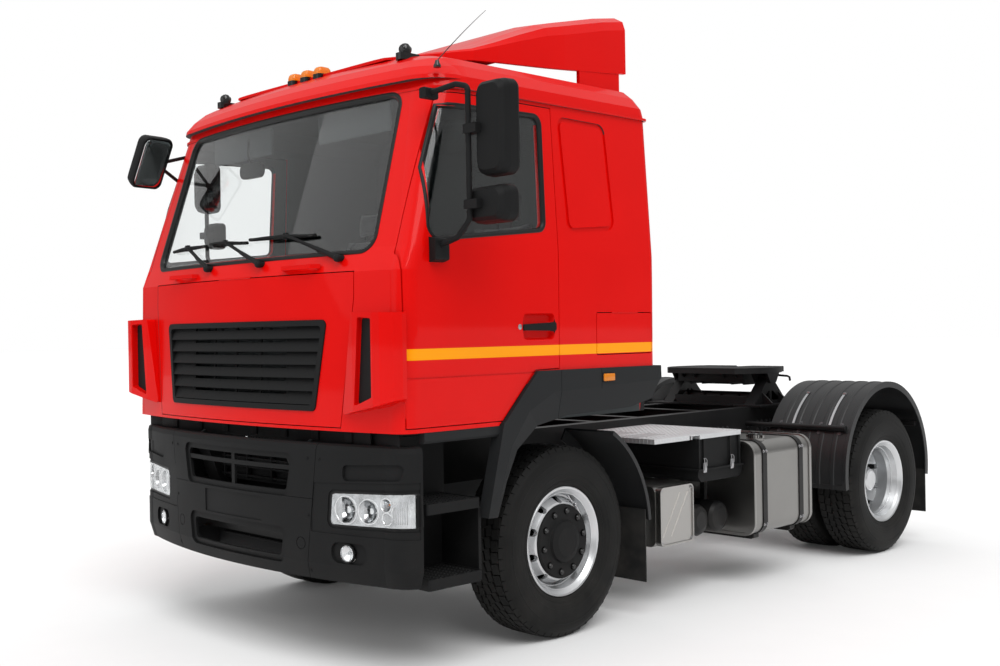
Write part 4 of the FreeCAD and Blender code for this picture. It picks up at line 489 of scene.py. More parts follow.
def mesh_of(bm: bmesh.types.BMesh, name: str) -> Mesh:
    """Turns a bmesh into a mesh and frees it.

    Args:
        bm: The bmesh.
        name: The mesh's name.

    Returns:
        The new mesh.
    """
    mesh = bpy.data.meshes.new(name)
    bm.to_mesh(mesh)
    bm.free()
    return mesh


def place(name: str, mesh: Mesh, body: str, slot: str, finish: str) -> Piece:
    """Makes a mesh a piece of the truck.

    Args:
        name: The piece's name.
        mesh: Its finished mesh, already in place.
        body: The body that it rides on.
        slot: The record's material slot of the piece; not used.
        finish: The short name of its finish.

    Returns:
        The new object.
    """
    mesh.name = name
    piece = linked(name, mesh)
    if not mesh.materials:
        mesh.materials.append(Finishes.get(finish))
    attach(piece, body)
    LOG.info("%s: %d faces on %s", name, len(mesh.polygons), body)
    return piece


def headings(points: Sequence[Vector], loop: bool) -> list[Vector]:
    """The direction of a path at each of its points.

    Args:
        points: Points of the path.
        loop: Whether the path is closed.

    Returns:
        A unit vector for each point.
    """
    last = len(points) - 1
    ends = ((points[i - 1 if i or loop else 0], points[(i + 1) % (last + 1) if loop else min(i + 1, last)])
            for i in range(last + 1))
    return [(b - a).normalized() for a, b in ends]


def circle(sides: int) -> list[float]:
    """Angles spaced evenly round a circle."""
    return [2 * pi * i / sides for i in range(sides)]


class Shape:
    """Gathers solids into one mesh and makes a piece of it."""

    def __init__(self) -> None:
        """Starts empty."""
        self.bm = bmesh.new()

    def block(self, low: Co, high: Co, round_by: float = 0.0, steps: int = 2) -> None:
        """Adds a block between two corners.

        Args:
            low: Its lowest corner.
            high: Its highest corner.
            round_by: How far its edges are rounded.
            steps: Segments of each rounding.
        """
        low, high = Vector(low), Vector(high)
        where = Matrix.Translation((low + high) / 2) @ Matrix.Diagonal((*(high - low), 1.0))
        made = bmesh.ops.create_cube(self.bm, size=1.0, matrix=where)["verts"]
        if round_by:
            edges = list({edge for vert in made for edge in vert.link_edges})
            bmesh.ops.bevel(self.bm, geom=edges, offset=round_by, segments=steps, profile=0.5, affect="EDGES")

    def pair(self, low: Co, high: Co, round_by: float = 0.0) -> None:
        """Adds a block on the left side and its mirror image on the right."""
        self.block(low, high, round_by)
        self.block((-high[0], *low[1:]), (-low[0], *high[1:]), round_by)

    def join(self, rings: Sequence[Sequence[Co]], loop: bool = False, caps: Sequence[int] = (0, -1)) -> None:
        """Lays faces between rings of equally many points.

        Args:
            rings: The rings in order.
            loop: Whether the last ring meets the first.
            caps: Which rings are filled when they don't meet.
        """
        made = [[self.bm.verts.new(point) for point in ring] for ring in rings]
        for one, two in zip(made, made[1:] + made[:1] if loop else made[1:]):
            for i in range(len(one)):
                self.bm.faces.new((one[i - 1], one[i], two[i], two[i - 1]))
        for k in () if loop else caps:
            self.bm.faces.new(made[k])

    def prism(self, outline: Outline, axis: str, start: float, end: float) -> None:
        """Draws an outline out along an axis.

        Args:
            outline: Points in the other two axes, in X, Y, Z order.
            axis: The axis to draw along, X, Y or Z.
            start: Where it starts on that axis.
            end: Where it ends.
        """
        k = "XYZ".index(axis)
        self.join([[(*point[:k], level, *point[k:]) for point in outline] for level in (start, end)])

    def lathe(self, profile: Outline, centre: Co, axis: Co, sides: int = 32, closed: bool = False) -> None:
        """Turns a profile of (radius, height) about an axis.

        Args:
            profile: The outline; an end of radius 0 closes it.
            centre: Where height 0 lies.
            axis: The direction of height.
            sides: Segments round the axis.
            closed: Whether the profile's end meets its start.
        """
        way = Vector(axis).normalized()
        side = way.orthogonal().normalized()
        other = way.cross(side)
        self.join([[Vector(centre) + way * height + (side * cos(a) + other * sin(a)) * max(radius, 1e-6)
                    for a in circle(sides)] for radius, height in profile],
                  closed, [k for k in (0, -1) if profile[k][0] > 1e-5])

    def sweep(self, path: Sequence[Co], section: Outline, outward: Sequence[Vector], loop: bool = False) -> None:
        """Carries a section along a path.

        Args:
            path: Points of the path.
            section: Points across the path and outward from it.
            outward: The outward direction at each path point.
            loop: Whether the path closes on itself.
        """
        points = [Vector(p) for p in path]
        rings = []
        for point, along, out in zip(points, headings(points, loop), outward):
            across = along.cross(out).normalized()
            rings.append([point + across * u + out * v for u, v in section])
        self.join(rings, loop)

    def tube(self, path: Sequence[Co], radius: float, sides: int = 12, taper: float = 1.0) -> None:
        """Carries a circle along a path; taper is the radius at its end over that at its start."""
        points = [Vector(p) for p in path]
        rings = []
        for i, (point, along) in enumerate(zip(points, headings(points, False))):
            out = (out - along * out.dot(along) if i else along.orthogonal()).normalized()
            across = along.cross(out)
            r = radius * (1.0 + (taper - 1.0) * i / max(1, len(points) - 1))
            rings.append([point + (out * cos(a) + across * sin(a)) * r for a in circle(sides)])
        self.join(rings)

    def mesh(self, name: str, sharp: float = 35.0) -> Mesh:
        """Merges doubles, turns the faces outwards and smooths all but the sharp edges.

        Args:
            name: The mesh's name.
            sharp: Edges that turn by more than this many degrees stay sharp.

        Returns:
            The mesh; this shape can't be used after that.
        """
        bmesh.ops.remove_doubles(self.bm, verts=self.bm.verts, dist=2e-5)
        bmesh.ops.recalc_face_normals(self.bm, faces=self.bm.faces)
        for face in self.bm.faces:
            face.smooth = True
        for edge in self.bm.edges:
            edge.smooth = edge.calc_face_angle(0.0) < radians(sharp)
        return mesh_of(self.bm, name)

    def piece(self, name: str, body: str, slot: str, finish: str, sharp: float = 35.0) -> Piece:
        """Finishes the mesh and makes it a piece of the truck; the arguments are those of place()."""
        return place(name, self.mesh(name, sharp), body, slot, finish)


def rounded_outline(corners: Outline, radius: float, grow: float = 0.0, steps: int = 8) -> Outline:
    """A polygon's outline with its corners turned into arcs.

    Args:
        corners: The polygon's corners in order.
        radius: The radius of each corner.
        grow: How far the outline is moved outwards.
        steps: Segments of each corner.

    Returns:
        The outline's points, in the same order as the corners.
    """
    points = [Vector(c) for c in corners]
    area = sum(a.x * b.y - b.x * a.y for a, b in zip(points, points[1:] + points[:1]))
    side = copysign(1.0, area)
    out = []
    for before, point, after in zip(points[-1:] + points, points, points[1:] + points[:1]):
        a, b = (before - point).normalized(), (after - point).normalized()
        half = a.angle(b) / 2
        middle = point + (a + b).normalized() * (radius / sin(half))
        first, last = (point + way * (radius / tan(half)) - middle for way in (a, b))
        sweep = atan2(first.x * last.y - first.y * last.x, first.dot(last))
        reach = radius + copysign(grow, grow * sweep * side)
        for k in range(steps + 1):
            angle = atan2(first.y, first.x) + sweep * k / steps
            out.append((middle.x + cos(angle) * reach, middle.y + sin(angle) * reach))
    return out


def rounded_box(x0: float, y0: float, x1: float, y1: float, radius: float, grow: float = 0.0,
                steps: int = 8) -> Outline:
    """A rectangle's rounded outline; the last arguments are those of rounded_outline()."""
    return rounded_outline([(x0, y0), (x1, y0), (x1, y1), (x0, y1)], radius, grow, steps)


def spaced(outline: Outline, gap: float) -> Outline:
    """A closed outline with points added so that no two neighbours are further apart than gap.

    Args:
        outline: The closed outline.
        gap: The widest distance between its points.

    Returns:
        The outline with points added.
    """
    out = []
    for a, b in zip(outline, list(outline[1:]) + [outline[0]]):
        steps = max(1, ceil(dist(a, b) / gap))
        out += [(a[0] + (b[0] - a[0]) * k / steps, a[1] + (b[1] - a[1]) * k / steps) for k in range(steps)]
    return out


class Skin:
    """The outer surface of some construction nodes, to lay pieces on."""

    def __init__(self, *nodes: str) -> None:
        """Reads the meshes of the named construction nodes."""
        verts: list[Vector] = []
        faces: list[tuple[int, ...]] = []
        for name in nodes:
            mesh = frame["nodes"][name].data
            start = len(verts)
            verts += [v.co.copy() for v in mesh.vertices]
            faces += [tuple(start + k for k in face.vertices) for face in mesh.polygons]
        self.tree = BVHTree.FromPolygons(verts, faces)

    def hit(self, origin: Co, way: Co) -> tuple[Optional[Vector], Optional[Vector]]:
        """The first point that a ray meets, and the surface's normal there, turned against the ray.

        Args:
            origin: Where the ray starts.
            way: The way that it goes.

        Returns:
            The point that it meets and the normal there, or None twice.
        """
        spot, normal, _, _ = self.tree.ray_cast(Vector(origin), Vector(way))
        if spot is not None and normal.dot(Vector(way)) > 0:
            normal = -normal
        return spot, normal

    def front(self, x: float, z: float) -> tuple[Optional[Vector], Optional[Vector]]:
        """The front surface at x and z."""
        return self.hit((x, -6.0, z), (0, 1, 0))

    def side(self, y: float, z: float, left: bool = True) -> tuple[Optional[Vector], Optional[Vector]]:
        """The side surface at y and z."""
        return self.hit((3.0 if left else -3.0, y, z), (-1 if left else 1, 0, 0))

    def top(self, x: float, y: float) -> tuple[Optional[Vector], Optional[Vector]]:
        """The top surface at x and y."""
        return self.hit((x, y, 6.0), (0, 0, -1))


# ------------------------------------------------------------------ repeated small parts
@dataclass
class Pattern:
    """A geometry node tree that repeats a small unit, with named sizes.

    The mesh that it works on carries the places; its vertices may have a vector attribute
    named aim, the way that each unit points.
    """

    name: str
    sizes: dict[str, float]

    def __post_init__(self) -> None:
        """Opens the tree with its sockets."""
        self.tree = bpy.data.node_groups.new(self.name, "GeometryNodeTree")
        side = self.tree.interface
        for way in ("INPUT", "OUTPUT"):
            side.new_socket(name="Geometry", in_out=way, socket_type="NodeSocketGeometry")
        for size, value in self.sizes.items():
            side.new_socket(name=size, in_out="INPUT", socket_type="NodeSocketFloat").default_value = value
        self.t = Tree(self.tree)
        self.size = self.t.add("NodeGroupInput").outputs

    def part(self, name: str, share: object) -> Socket:
        """A share of a named size."""
        return self.t.mul(self.size[name], share)

    def vector(self, x: object, y: object, z: object) -> Socket:
        """A vector of three values or sockets."""
        return self.t.out("ShaderNodeCombineXYZ", {0: x, 1: y, 2: z})

    def moved(self, geometry: Socket, offset: object = (0.0, 0.0, 0.0), turn: object = (0.0, 0.0, 0.0),
              scale: object = (1.0, 1.0, 1.0)) -> Socket:
        """Geometry moved, turned and scaled."""
        return self.t.out("GeometryNodeTransform", {"Geometry": geometry, "Translation": offset, "Rotation": turn,
                                                    "Scale": scale})

    def block(self, x: object, y: object, z: object) -> Socket:
        """A block of three sizes about the origin."""
        return self.t.out("GeometryNodeMeshCube", {"Size": self.vector(x, y, z)})

    def drum(self, sides: int, radius: object, depth: object) -> Socket:
        """A drum or prism standing on the origin along Z."""
        drum = self.t.out("GeometryNodeMeshCylinder", {"Vertices": sides, "Radius": radius, "Depth": depth})
        return self.moved(drum, self.vector(0.0, 0.0, self.t.mul(depth, 0.5)))

    def cone(self, sides: object, low: object, high: object, depth: object, fill: str = "NGON") -> Socket:
        """A cut cone standing on the origin along Z."""
        sizes = {"Vertices": sides, "Radius Top": high, "Radius Bottom": low, "Depth": depth}
        return self.t.out("GeometryNodeMeshCone", sizes, fill_type=fill)

    def line(self, count: object, step: object) -> Socket:
        """A row of points from the origin."""
        return self.t.out("GeometryNodeMeshLine", {"Count": count, "Offset": step})

    def together(self, *parts: Socket) -> Socket:
        """Several geometries as one."""
        join = self.t.add("GeometryNodeJoinGeometry")
        for part in reversed(parts):
            self.tree.links.new(part, join.inputs[0])
        return join.outputs[0]

    def spread(self, unit: Socket, points: Optional[Socket] = None, turn: Optional[Socket] = None) -> Socket:
        """The unit on every point, turned by a rotation if one is given."""
        inputs = {"Points": points or self.size["Geometry"], "Instance": unit}
        if turn:
            inputs["Rotation"] = turn
        return self.t.out("GeometryNodeInstanceOnPoints", inputs)

    def aimed(self, unit: Socket) -> Socket:
        """The unit on every place of the carrier, its Z turned to the place's aim."""
        aim = self.t.out("GeometryNodeInputNamedAttribute", {"Name": "aim"}, data_type="FLOAT_VECTOR")
        return self.spread(unit, turn=self.t.out("FunctionNodeAlignRotationToVector", {"Vector": aim}, axis="Z"))

    def close(self, geometry: Socket) -> "Pattern":
        """Ends the tree in Realize Instances and Set Material and returns the pattern."""
        solid = self.t.out("GeometryNodeRealizeInstances", {0: geometry})
        shaded = self.t.out("GeometryNodeSetShadeSmooth", {"Geometry": solid, "Shade Smooth": False})
        self.paint = self.t.add("GeometryNodeSetMaterial", {"Geometry": shaded})
        self.t.add("NodeGroupOutput", {0: self.paint.outputs[0]})
        return self

    def made(self, base: Mesh, finish: str, **values: float) -> Mesh:
        """Runs the tree over a carrier mesh.

        Args:
            base: The mesh that holds the places.
            finish: The finish of what is made.
            **values: Sizes by name.

        Returns:
            A plain mesh.
        """
        self.paint.inputs["Material"].default_value = Finishes.get(finish)
        holder = linked(self.name, base)
        live = holder.modifiers.new(self.name, "NODES")
        live.node_group = self.tree
        for socket in self.tree.interface.items_tree:
            if socket.in_out == "INPUT" and socket.name in values:
                live[socket.identifier] = float(values[socket.name])
        mesh = evaluated(holder)
        bpy.data.objects.remove(holder)
        for name in [a.name for a in mesh.attributes if a.name in ("aim", "uv_map", "UVMap")]:
            mesh.attributes.remove(mesh.attributes[name])
        return mesh


def carrier(places: Places) -> Mesh:
    """A mesh of loose points, each with its aim.

    Args:
        places: Points, each with the way that it faces.

    Returns:
        The mesh that carries them.
    """
    mesh = bpy.data.meshes.new("places")
    mesh.from_pydata([tuple(p) for p, _ in places], [], [])
    aim = mesh.attributes.new("aim", "FLOAT_VECTOR", "POINT")
    aim.data.foreach_set("vector", [c for _, way in places for c in way])
    return mesh


class Fastenings:
    """Hex bolts and domed caps over the wheel nuts, laid by one tree each."""

    def __init__(self) -> None:
        """Builds the trees."""
        bolt = Pattern("bolts", {"Head": 0.009, "Height": 0.006, "Washer": 0.013, "Stud": 0.0})
        high = bolt.size["Height"]
        head = bolt.drum(6, bolt.size["Head"], high)
        washer = bolt.drum(16, bolt.size["Washer"], bolt.part("Height", 0.3))
        stud = bolt.drum(10, bolt.part("Head", 0.5), bolt.t.math("ADD", high, bolt.size["Stud"]))
        self.bolt = bolt.close(bolt.aimed(bolt.together(head, washer, stud)))
        cap = Pattern("domed_caps", {"Radius": 0.016, "Height": 0.03})
        low = cap.part("Height", 0.72)
        barrel = cap.cone(16, cap.size["Radius"], cap.part("Radius", 0.9), low)
        crown = cap.cone(16, cap.part("Radius", 0.9), cap.part("Radius", 0.55),
                         cap.t.math("SUBTRACT", cap.size["Height"], low))
        self.cap = cap.close(cap.aimed(cap.together(barrel, cap.moved(crown, cap.vector(0.0, 0.0, low)))))

    def bolts(self, name: str, body: str, places: Places, sizes: Co, slot: str = "frame",
              finish: str = "bolt_steel") -> None:
        """Sets a hex bolt on each place and makes them one piece.

        Args:
            name: The piece's name.
            body: Its body.
            places: Where the bolts sit and the way that they point.
            sizes: Radius and height of the head, radius of the washer and length of the bare stud.
            slot: The piece's slot; not used.
            finish: Its finish.
        """
        sizes = dict(zip(("Head", "Height", "Washer", "Stud"), sizes))
        place(name, self.bolt.made(carrier(places), finish, **sizes), body, slot, finish)

    def caps(self, name: str, body: str, places: Places, radius: float, height: float) -> None:
        """Sets a domed cap of a radius and height on each place and makes them one piece."""
        mesh = self.cap.made(carrier(places), "black_gloss", Radius=radius, Height=height)
        place(name, mesh, body, "rim", "black_gloss")


def ring_places(centre: Co, radius: float, count: int, side: float, turn: float = 0.0) -> Places:
    """Places evenly round a circle about an axle line along X, all facing outwards on one side.

    Args:
        centre: The ring's centre.
        radius: The ring's radius.
        count: How many places it has.
        side: 1 if they face left, -1 if right.
        turn: Where on the ring the first one stands, in radians.

    Returns:
        The places.
    """
    x, y, z = centre
    return [((x, y + radius * cos(a), z + radius * sin(a)), (side, 0.0, 0.0))
            for a in (radians(turn + 360.0 * i / count) for i in range(count))]


# ------------------------------------------------------------------ wheels
@dataclass
class TyrePattern:
    """The tread of a steer or drive tyre: ribs cut into blocks, with lugs down the shoulders."""

    radius: float = 0.5292
    blocks: int = 54
    depth: float = 0.013
    # offset across, width, share of the pitch, slant, tilt, drop below the tread, phase
    lanes: Sequence[Co] = ((0.0, 0.038, 0.94, 14.0, 0.0, 0.0, 0.0), (-0.0465, 0.036, 0.93, -14.0, 0.0, 0.0, 0.35),
                           (0.0465, 0.036, 0.93, 14.0, 0.0, 0.0, 0.65), (-0.0945, 0.042, 0.9, -8.0, 4.0, 0.0016, 0.1),
                           (0.0945, 0.042, 0.9, 8.0, -4.0, 0.0016, 0.9))
    lugs: Co = (0.1262, 0.034, 0.88, 0.0, -56.0, 0.0203, 0.5)
    lug_depth: float = 0.01
    half: Outline = ((0.2865, 0.112), (0.3, 0.1155), (0.3045, 0.118), (0.308, 0.127), (0.313, 0.132), (0.322, 0.136),
                     (0.33, 0.1385), (0.3315, 0.1405), (0.334, 0.1405), (0.3355, 0.1395), (0.35, 0.1465),
                     (0.372, 0.1522), (0.374, 0.154), (0.3765, 0.1538), (0.395, 0.156), (0.42, 0.1568),
                     (0.443, 0.1558), (0.4445, 0.1568), (0.448, 0.1566), (0.45, 0.155), (0.466, 0.1525),
                     (0.48, 0.148), (0.49, 0.143), (0.5, 0.135), (0.51, 0.122), (0.516, 0.108),
                     (0.5178, 0.095))

    def __post_init__(self) -> None:
        """Builds the tree, which adds the blocks to the carcass that it is given."""
        pattern = Pattern("tyre_tread", {"Radius": self.radius, "Blocks": float(self.blocks), "Depth": self.depth})
        step = pattern.t.math("DIVIDE", 2 * pi, pattern.size["Blocks"])
        made = [pattern.size["Geometry"]]
        made += [self.lane(pattern, step, lane, pattern.size["Depth"]) for lane in self.lanes]
        offset, width, share, slant, tilt, drop, phase = self.lugs
        for side in (-1, 1):
            lane = (side * offset, width, share, slant, side * tilt, drop, phase)
            made.append(self.lane(pattern, step, lane, self.lug_depth))
        self.pattern = pattern.close(pattern.together(*made))

    @staticmethod
    def lane(pattern: Pattern, step: Socket, lane: Co, deep: object) -> Socket:
        """One ring of blocks about the X axis.

        Args:
            pattern: The pattern that is built.
            step: The angle between two blocks.
            lane: The ring's place across the tyre, a block's size across it and its share of the pitch,
                how it is turned in the tread's surface, how its face leans towards the shoulder, how far
                that lies below the tread's radius, and how far the ring is turned, as a share of a pitch.
            deep: The block's thickness.

        Returns:
            The ring's instances, turned into place.
        """
        t = pattern.t
        offset, width, share, slant, tilt, drop, phase = lane
        pitch = t.mul(step, pattern.size["Radius"])
        sunk = t.math("ADD", t.mul(deep, 0.5), drop)
        ring = t.out("GeometryNodeMeshCircle", {"Vertices": pattern.size["Blocks"],
                                                "Radius": t.math("SUBTRACT", pattern.size["Radius"], sunk)})
        turn = pattern.vector(radians(slant), radians(tilt), t.mul(t.out("GeometryNodeInputIndex"), step))
        spread = pattern.spread(pattern.block(deep, t.mul(pitch, share), width), ring,
                                t.out("FunctionNodeEulerToRotation", {0: turn}))
        phased = pattern.moved(spread, (0.0, 0.0, offset), pattern.vector(0.0, 0.0, t.mul(step, phase)))
        return pattern.moved(phased, turn=(0.0, radians(90.0), 0.0))

    def tyre(self, x: float, y: float) -> Mesh:
        """A whole tyre with its centre plane at x and its axle at y."""
        flat = [(0.5178, 0.0945 - 0.0945 * k / 6) for k in range(1, 12)]
        inside = [(0.3, -0.1), (0.3, 0.1)]
        shape = Shape()
        shape.lathe([*self.half, *flat, *((r, -x) for r, x in reversed(self.half)), *inside], (0.0, 0.0, 0.0),
                    (1.0, 0.0, 0.0), 108, True)
        mesh = self.pattern.made(shape.mesh("carcass", 28.0), "tyre", Radius=self.radius, Blocks=self.blocks,
                                 Depth=self.depth)
        mesh.transform(Matrix.Translation((x, y, AXLE_Z)))
        return mesh


@dataclass
class Wheels:
    """Tyres, nuts and caps of the two steered wheels and the two twin pairs."""

    front_x: float = 1.009
    rear_x: float = 1.118
    twin_pitch: float = 0.35
    stud_circle: float = 0.1675
    cover_face: float = 1.1343
    studs: int = 10

    def build(self, fastenings: Fastenings) -> None:
        """Builds every wheel's pieces.

        Args:
            fastenings: The shared fastenings.
        """
        tread = TyrePattern()
        rear_y = station(WHEELBASE)
        for side, name in SIDES:
            front = place("front_tyre_rubber_" + name, tread.tyre(side * self.front_x, AXLE_Y),
                          "front_wheel_" + name, "tyre", "tyre")
            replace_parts(front, "front_tyre_" + name)
            pair = bmesh.new()
            for x in (self.rear_x, self.rear_x - self.twin_pitch):
                pair.from_mesh(tread.tyre(side * x, rear_y))
            mesh = mesh_of(pair, "pair")
            mesh.materials.append(Finishes.get("tyre"))
            rear = place("rear_tyre_rubber_" + name, mesh, "rear_wheels_" + name, "tyre", "tyre")
            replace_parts(rear, "rear_tyres_" + name)
            self.front_trim(side, name, fastenings)
            self.rear_trim(side, name, rear_y, fastenings)

    def front_trim(self, side: float, name: str, fastenings: Fastenings) -> None:
        """Capped nuts in the cover's pockets, and the tyre valve.

        Args:
            side: 1 for the left side, -1 for the right.
            name: The side's name.
            fastenings: The shared fastenings.
        """
        body = "front_wheel_" + name
        centre = (side * (self.cover_face - 0.006), AXLE_Y, AXLE_Z)
        fastenings.caps("front_nut_caps_" + name, body,
                        ring_places(centre, self.stud_circle, self.studs, side, 9.0), 0.0172, 0.02)
        self.rim_beads("front_rim_beads_" + name, body, side, AXLE_Y, (1.1105, 1.0715))
        # A flat dark ring in painted-shade black stands for the shade inside the wheel.
        drum = Shape()
        drum.lathe([(0.12, 0.0), (0.243, 0.0), (0.243, -0.006), (0.12, -0.006)], (side * 1.042, AXLE_Y, AXLE_Z),
                   (side, 0.0, 0.0), 64, True)
        drum.piece("front_drum_face_" + name, body, "cast", "painted_shade")
        valve = Shape()
        (y, z), (out_y, out_z) = ((AXLE_Y + r * cos(a), AXLE_Z + r * sin(a))
                                  for r, a in ((0.214, radians(70)), (0.262, radians(72))))
        valve.tube([(side * 1.075, out_y, out_z), (side * 1.098, out_y, out_z), (side * 1.128, y + 0.006, z + 0.012),
                    (side * 1.147, y, z)], 0.0042, 10)
        valve.lathe([(0.0, 0.0), (0.0062, 0.0), (0.0062, 0.017), (0.004, 0.02), (0.0, 0.02)],
                    (side * 1.147, y, z), (side, 0.0, 0.0), 12)
        valve.piece("front_valve_" + name, body, "rim", "dull_metal")

    @staticmethod
    def rim_beads(name: str, body: str, side: float, y: float, where: Co) -> None:
        """Two rolled beads round the rim's well.

        Args:
            name: The piece's name.
            body: The body it turns with.
            side: 1 on the left, -1 on the right.
            y: The axle's station.
            where: How far out the wide and the narrow bead lie.
        """
        beads = Shape()
        for x, radius, thick in zip(where, (0.266, 0.2505), (0.0032, 0.0042)):
            beads.lathe([(radius + thick * cos(a), thick * sin(a)) for a in circle(8)], (side * x, y, AXLE_Z),
                        (side, 0.0, 0.0), 72, True)
        beads.piece(name, body, "rim", "silver")

    def rear_trim(self, side: float, name: str, y: float, fastenings: Fastenings) -> None:
        """Nuts on their studs round the rear hub, and the bolts of the axle shaft's flange."""
        body = "rear_wheels_" + name
        self.rim_beads("rear_rim_beads_" + name, body, side, y, (1.2195, 1.181))
        # A flat ring and a cone in painted-shade black stand for the shade inside the twin wheels.
        drum = Shape()
        drum.lathe([(0.13, 0.0), (0.23, 0.0), (0.23, -0.0012), (0.13, -0.0012)], (side * 0.9436, y, AXLE_Z),
                   (side, 0.0, 0.0), 64, True)
        cone = [(0.205, -0.035), (0.21, -0.0296), (0.22, 0.002), (0.23, 0.033), (0.24, 0.064), (0.2465, 0.085)]
        drum.lathe([(r, x - 0.03) for r, x in cone] + [(r, x - 0.0315) for r, x in reversed(cone)],
                   (side * 1.0, y, AXLE_Z), (side, 0.0, 0.0), 64, True)
        drum.piece("rear_drum_face_" + name, body, "cast", "painted_shade")
        middle = self.rear_x - self.twin_pitch / 2
        for title, out, radius, count, sizes in (
                ("rear_wheel_nuts_", 0.0145, self.stud_circle, self.studs, (0.018, 0.021, 0.0225, 0.014)),
                ("shaft_flange_bolts_", 0.158, 0.09, 12, (0.0085, 0.007, 0.011, 0.0))):
            places = ring_places((side * (middle + out), y, AXLE_Z), radius, count, side)
            fastenings.bolts(title + name, body, places, sizes, "rim", "dull_metal")


# ------------------------------------------------------------------ cab interior
@dataclass
class Pad:
    """One sewn and stuffed part: its corners, crown, seams and how it is swelled."""

    name: str
    size: tuple[float, float, float]
    crown: float = 0.016
    waist: float = 0.01
    voxel: float = 0.01
    cap: float = 0.014
    fill: float = 0.8
    channels_x: Co = ()
    channels_y: Co = ()
    panel: float = 0.0

    def form(self) -> Mesh:
        """The closed, crowned form before it is swelled, lying flat about the origin."""
        bm = bmesh.new()
        n = 16
        hx, hy, hz = (s / 2 for s in self.size)
        layers = []
        for up in (1.0, -1.0):
            rows = []
            for i in range(n + 1):
                u = -1 + 2 * i / n
                row = []
                for j in range(n + 1):
                    v = -1 + 2 * j / n
                    x = u * (hx - self.waist * (1 - v * v))
                    y = v * (hy - self.waist * (1 - u * u))
                    soft = (1 - abs(u) ** 5) * (1 - abs(v) ** 5)
                    lift = (hz - self.crown) * (0.45 + 0.55 * soft)
                    if up > 0:
                        lift += self.crown * (1 - u * u) * (1 - v * v)
                    row.append(bm.verts.new((x, y, up * lift)))
                rows.append(row)
            layers.append(rows)
            for one, two in zip(rows, rows[1:]):
                for j in range(n):
                    bm.faces.new((one[j], two[j], two[j + 1], one[j + 1]))
        top, low = layers
        edge = [(i, 0) for i in range(n)] + [(n, j) for j in range(n)]
        edge += [(n - i, n - j) for i, j in edge]
        for (a, b), (c, d) in zip(edge, edge[1:] + edge[:1]):
            bm.faces.new((top[a][b], low[a][b], low[c][d], top[c][d]))
        bmesh.ops.recalc_face_normals(bm, faces=bm.faces)
        return mesh_of(bm, self.name)

    def swell(self) -> Mesh:
        """Remeshes the form, fills it with pressure and subdivides it once, about the origin."""
        holder = linked(self.name, self.form())
        remesh = holder.modifiers.new("remesh", "REMESH")
        remesh.mode, remesh.voxel_size, remesh.use_smooth_shade = "VOXEL", self.voxel, True
        even = holder.data = evaluated(holder)
        self.blow(holder, even)
        self.sew(even)
        smooth = holder.modifiers.new("smooth", "SUBSURF")
        smooth.levels = smooth.render_levels = 1
        done = evaluated(holder)
        bpy.data.objects.remove(holder)
        self.dress(done)
        return done

    def blow(self, holder: Piece, even: Mesh) -> None:
        """Swells the mesh of an object by pressure, each point by no more than the cap."""
        scene = bpy.context.scene
        cloth = holder.modifiers.new("cloth", "CLOTH")
        settings = cloth.settings
        settings.quality = 5
        settings.use_pressure = True
        settings.uniform_pressure_force = 4.0
        settings.effector_weights.gravity = 0.0
        settings.tension_stiffness = settings.compression_stiffness = 15.0
        settings.mass = 0.3
        cloth.collision_settings.use_collision = False
        cloth.point_cache.frame_start, cloth.point_cache.frame_end = 1, 20
        for number in range(1, 21):
            scene.frame_set(number)
        for vert, swollen in zip(even.vertices, evaluated(holder).vertices):
            move = swollen.co - vert.co
            vert.co += move * min(1.0, self.cap / max(move.length, 1e-9))
        scene.frame_set(1)

    def sew(self, mesh: Mesh) -> None:
        """Presses the sewn channels into the face, and a piped seam round the sides.

        Args:
            mesh: The pad's mesh.
        """
        hx, hy, hz = (s / 2 for s in self.size)
        for vert in mesh.vertices:
            x, y, z = vert.co
            if z > 0:
                gaps = [x - line * hx for line in self.channels_x]
                if abs(x) < (self.panel or 1.0) * hx:
                    gaps += [y - line * hy for line in self.channels_y]
                deep = max((exp(-(gap / 0.008) ** 2) for gap in gaps), default=0.0)
                vert.co.z -= 0.009 * deep * min(1.0, z / (hz * 0.5))
            seam = 0.003 * exp(-((z - hz * 0.35) / 0.006) ** 2)
            vert.co.x -= copysign(seam, x) if abs(x) / hx > 0.9 else 0.0
            vert.co.y -= copysign(seam, y) if abs(y) / hy > 0.9 else 0.0

    def dress(self, mesh: Mesh) -> None:
        """Gives the middle panel the lighter cloth.

        Args:
            mesh: The pad's mesh.
        """
        mesh.materials.clear()
        mesh.materials.append(Finishes.get("cloth"))
        mesh.materials.append(Finishes.get("cloth_light"))
        reach = self.panel * self.size[0] / 2
        for face in mesh.polygons:
            face.material_index = int(abs(face.center.x) < reach and face.center.z > 0)
            face.use_smooth = True

    def lay(self, mesh: Mesh, where: Matrix, name: str) -> Piece:
        """Sets a copy of the pad in its place in the cab."""
        copy = mesh.copy()
        copy.transform(where)
        piece = place(name, copy, "cab", "seat", "cloth")
        return piece


def shift(x: float, y: float, z: float) -> Matrix:
    """A move by x and z, and to a station y behind the front axle."""
    return Matrix.Translation((x, station(y), z))


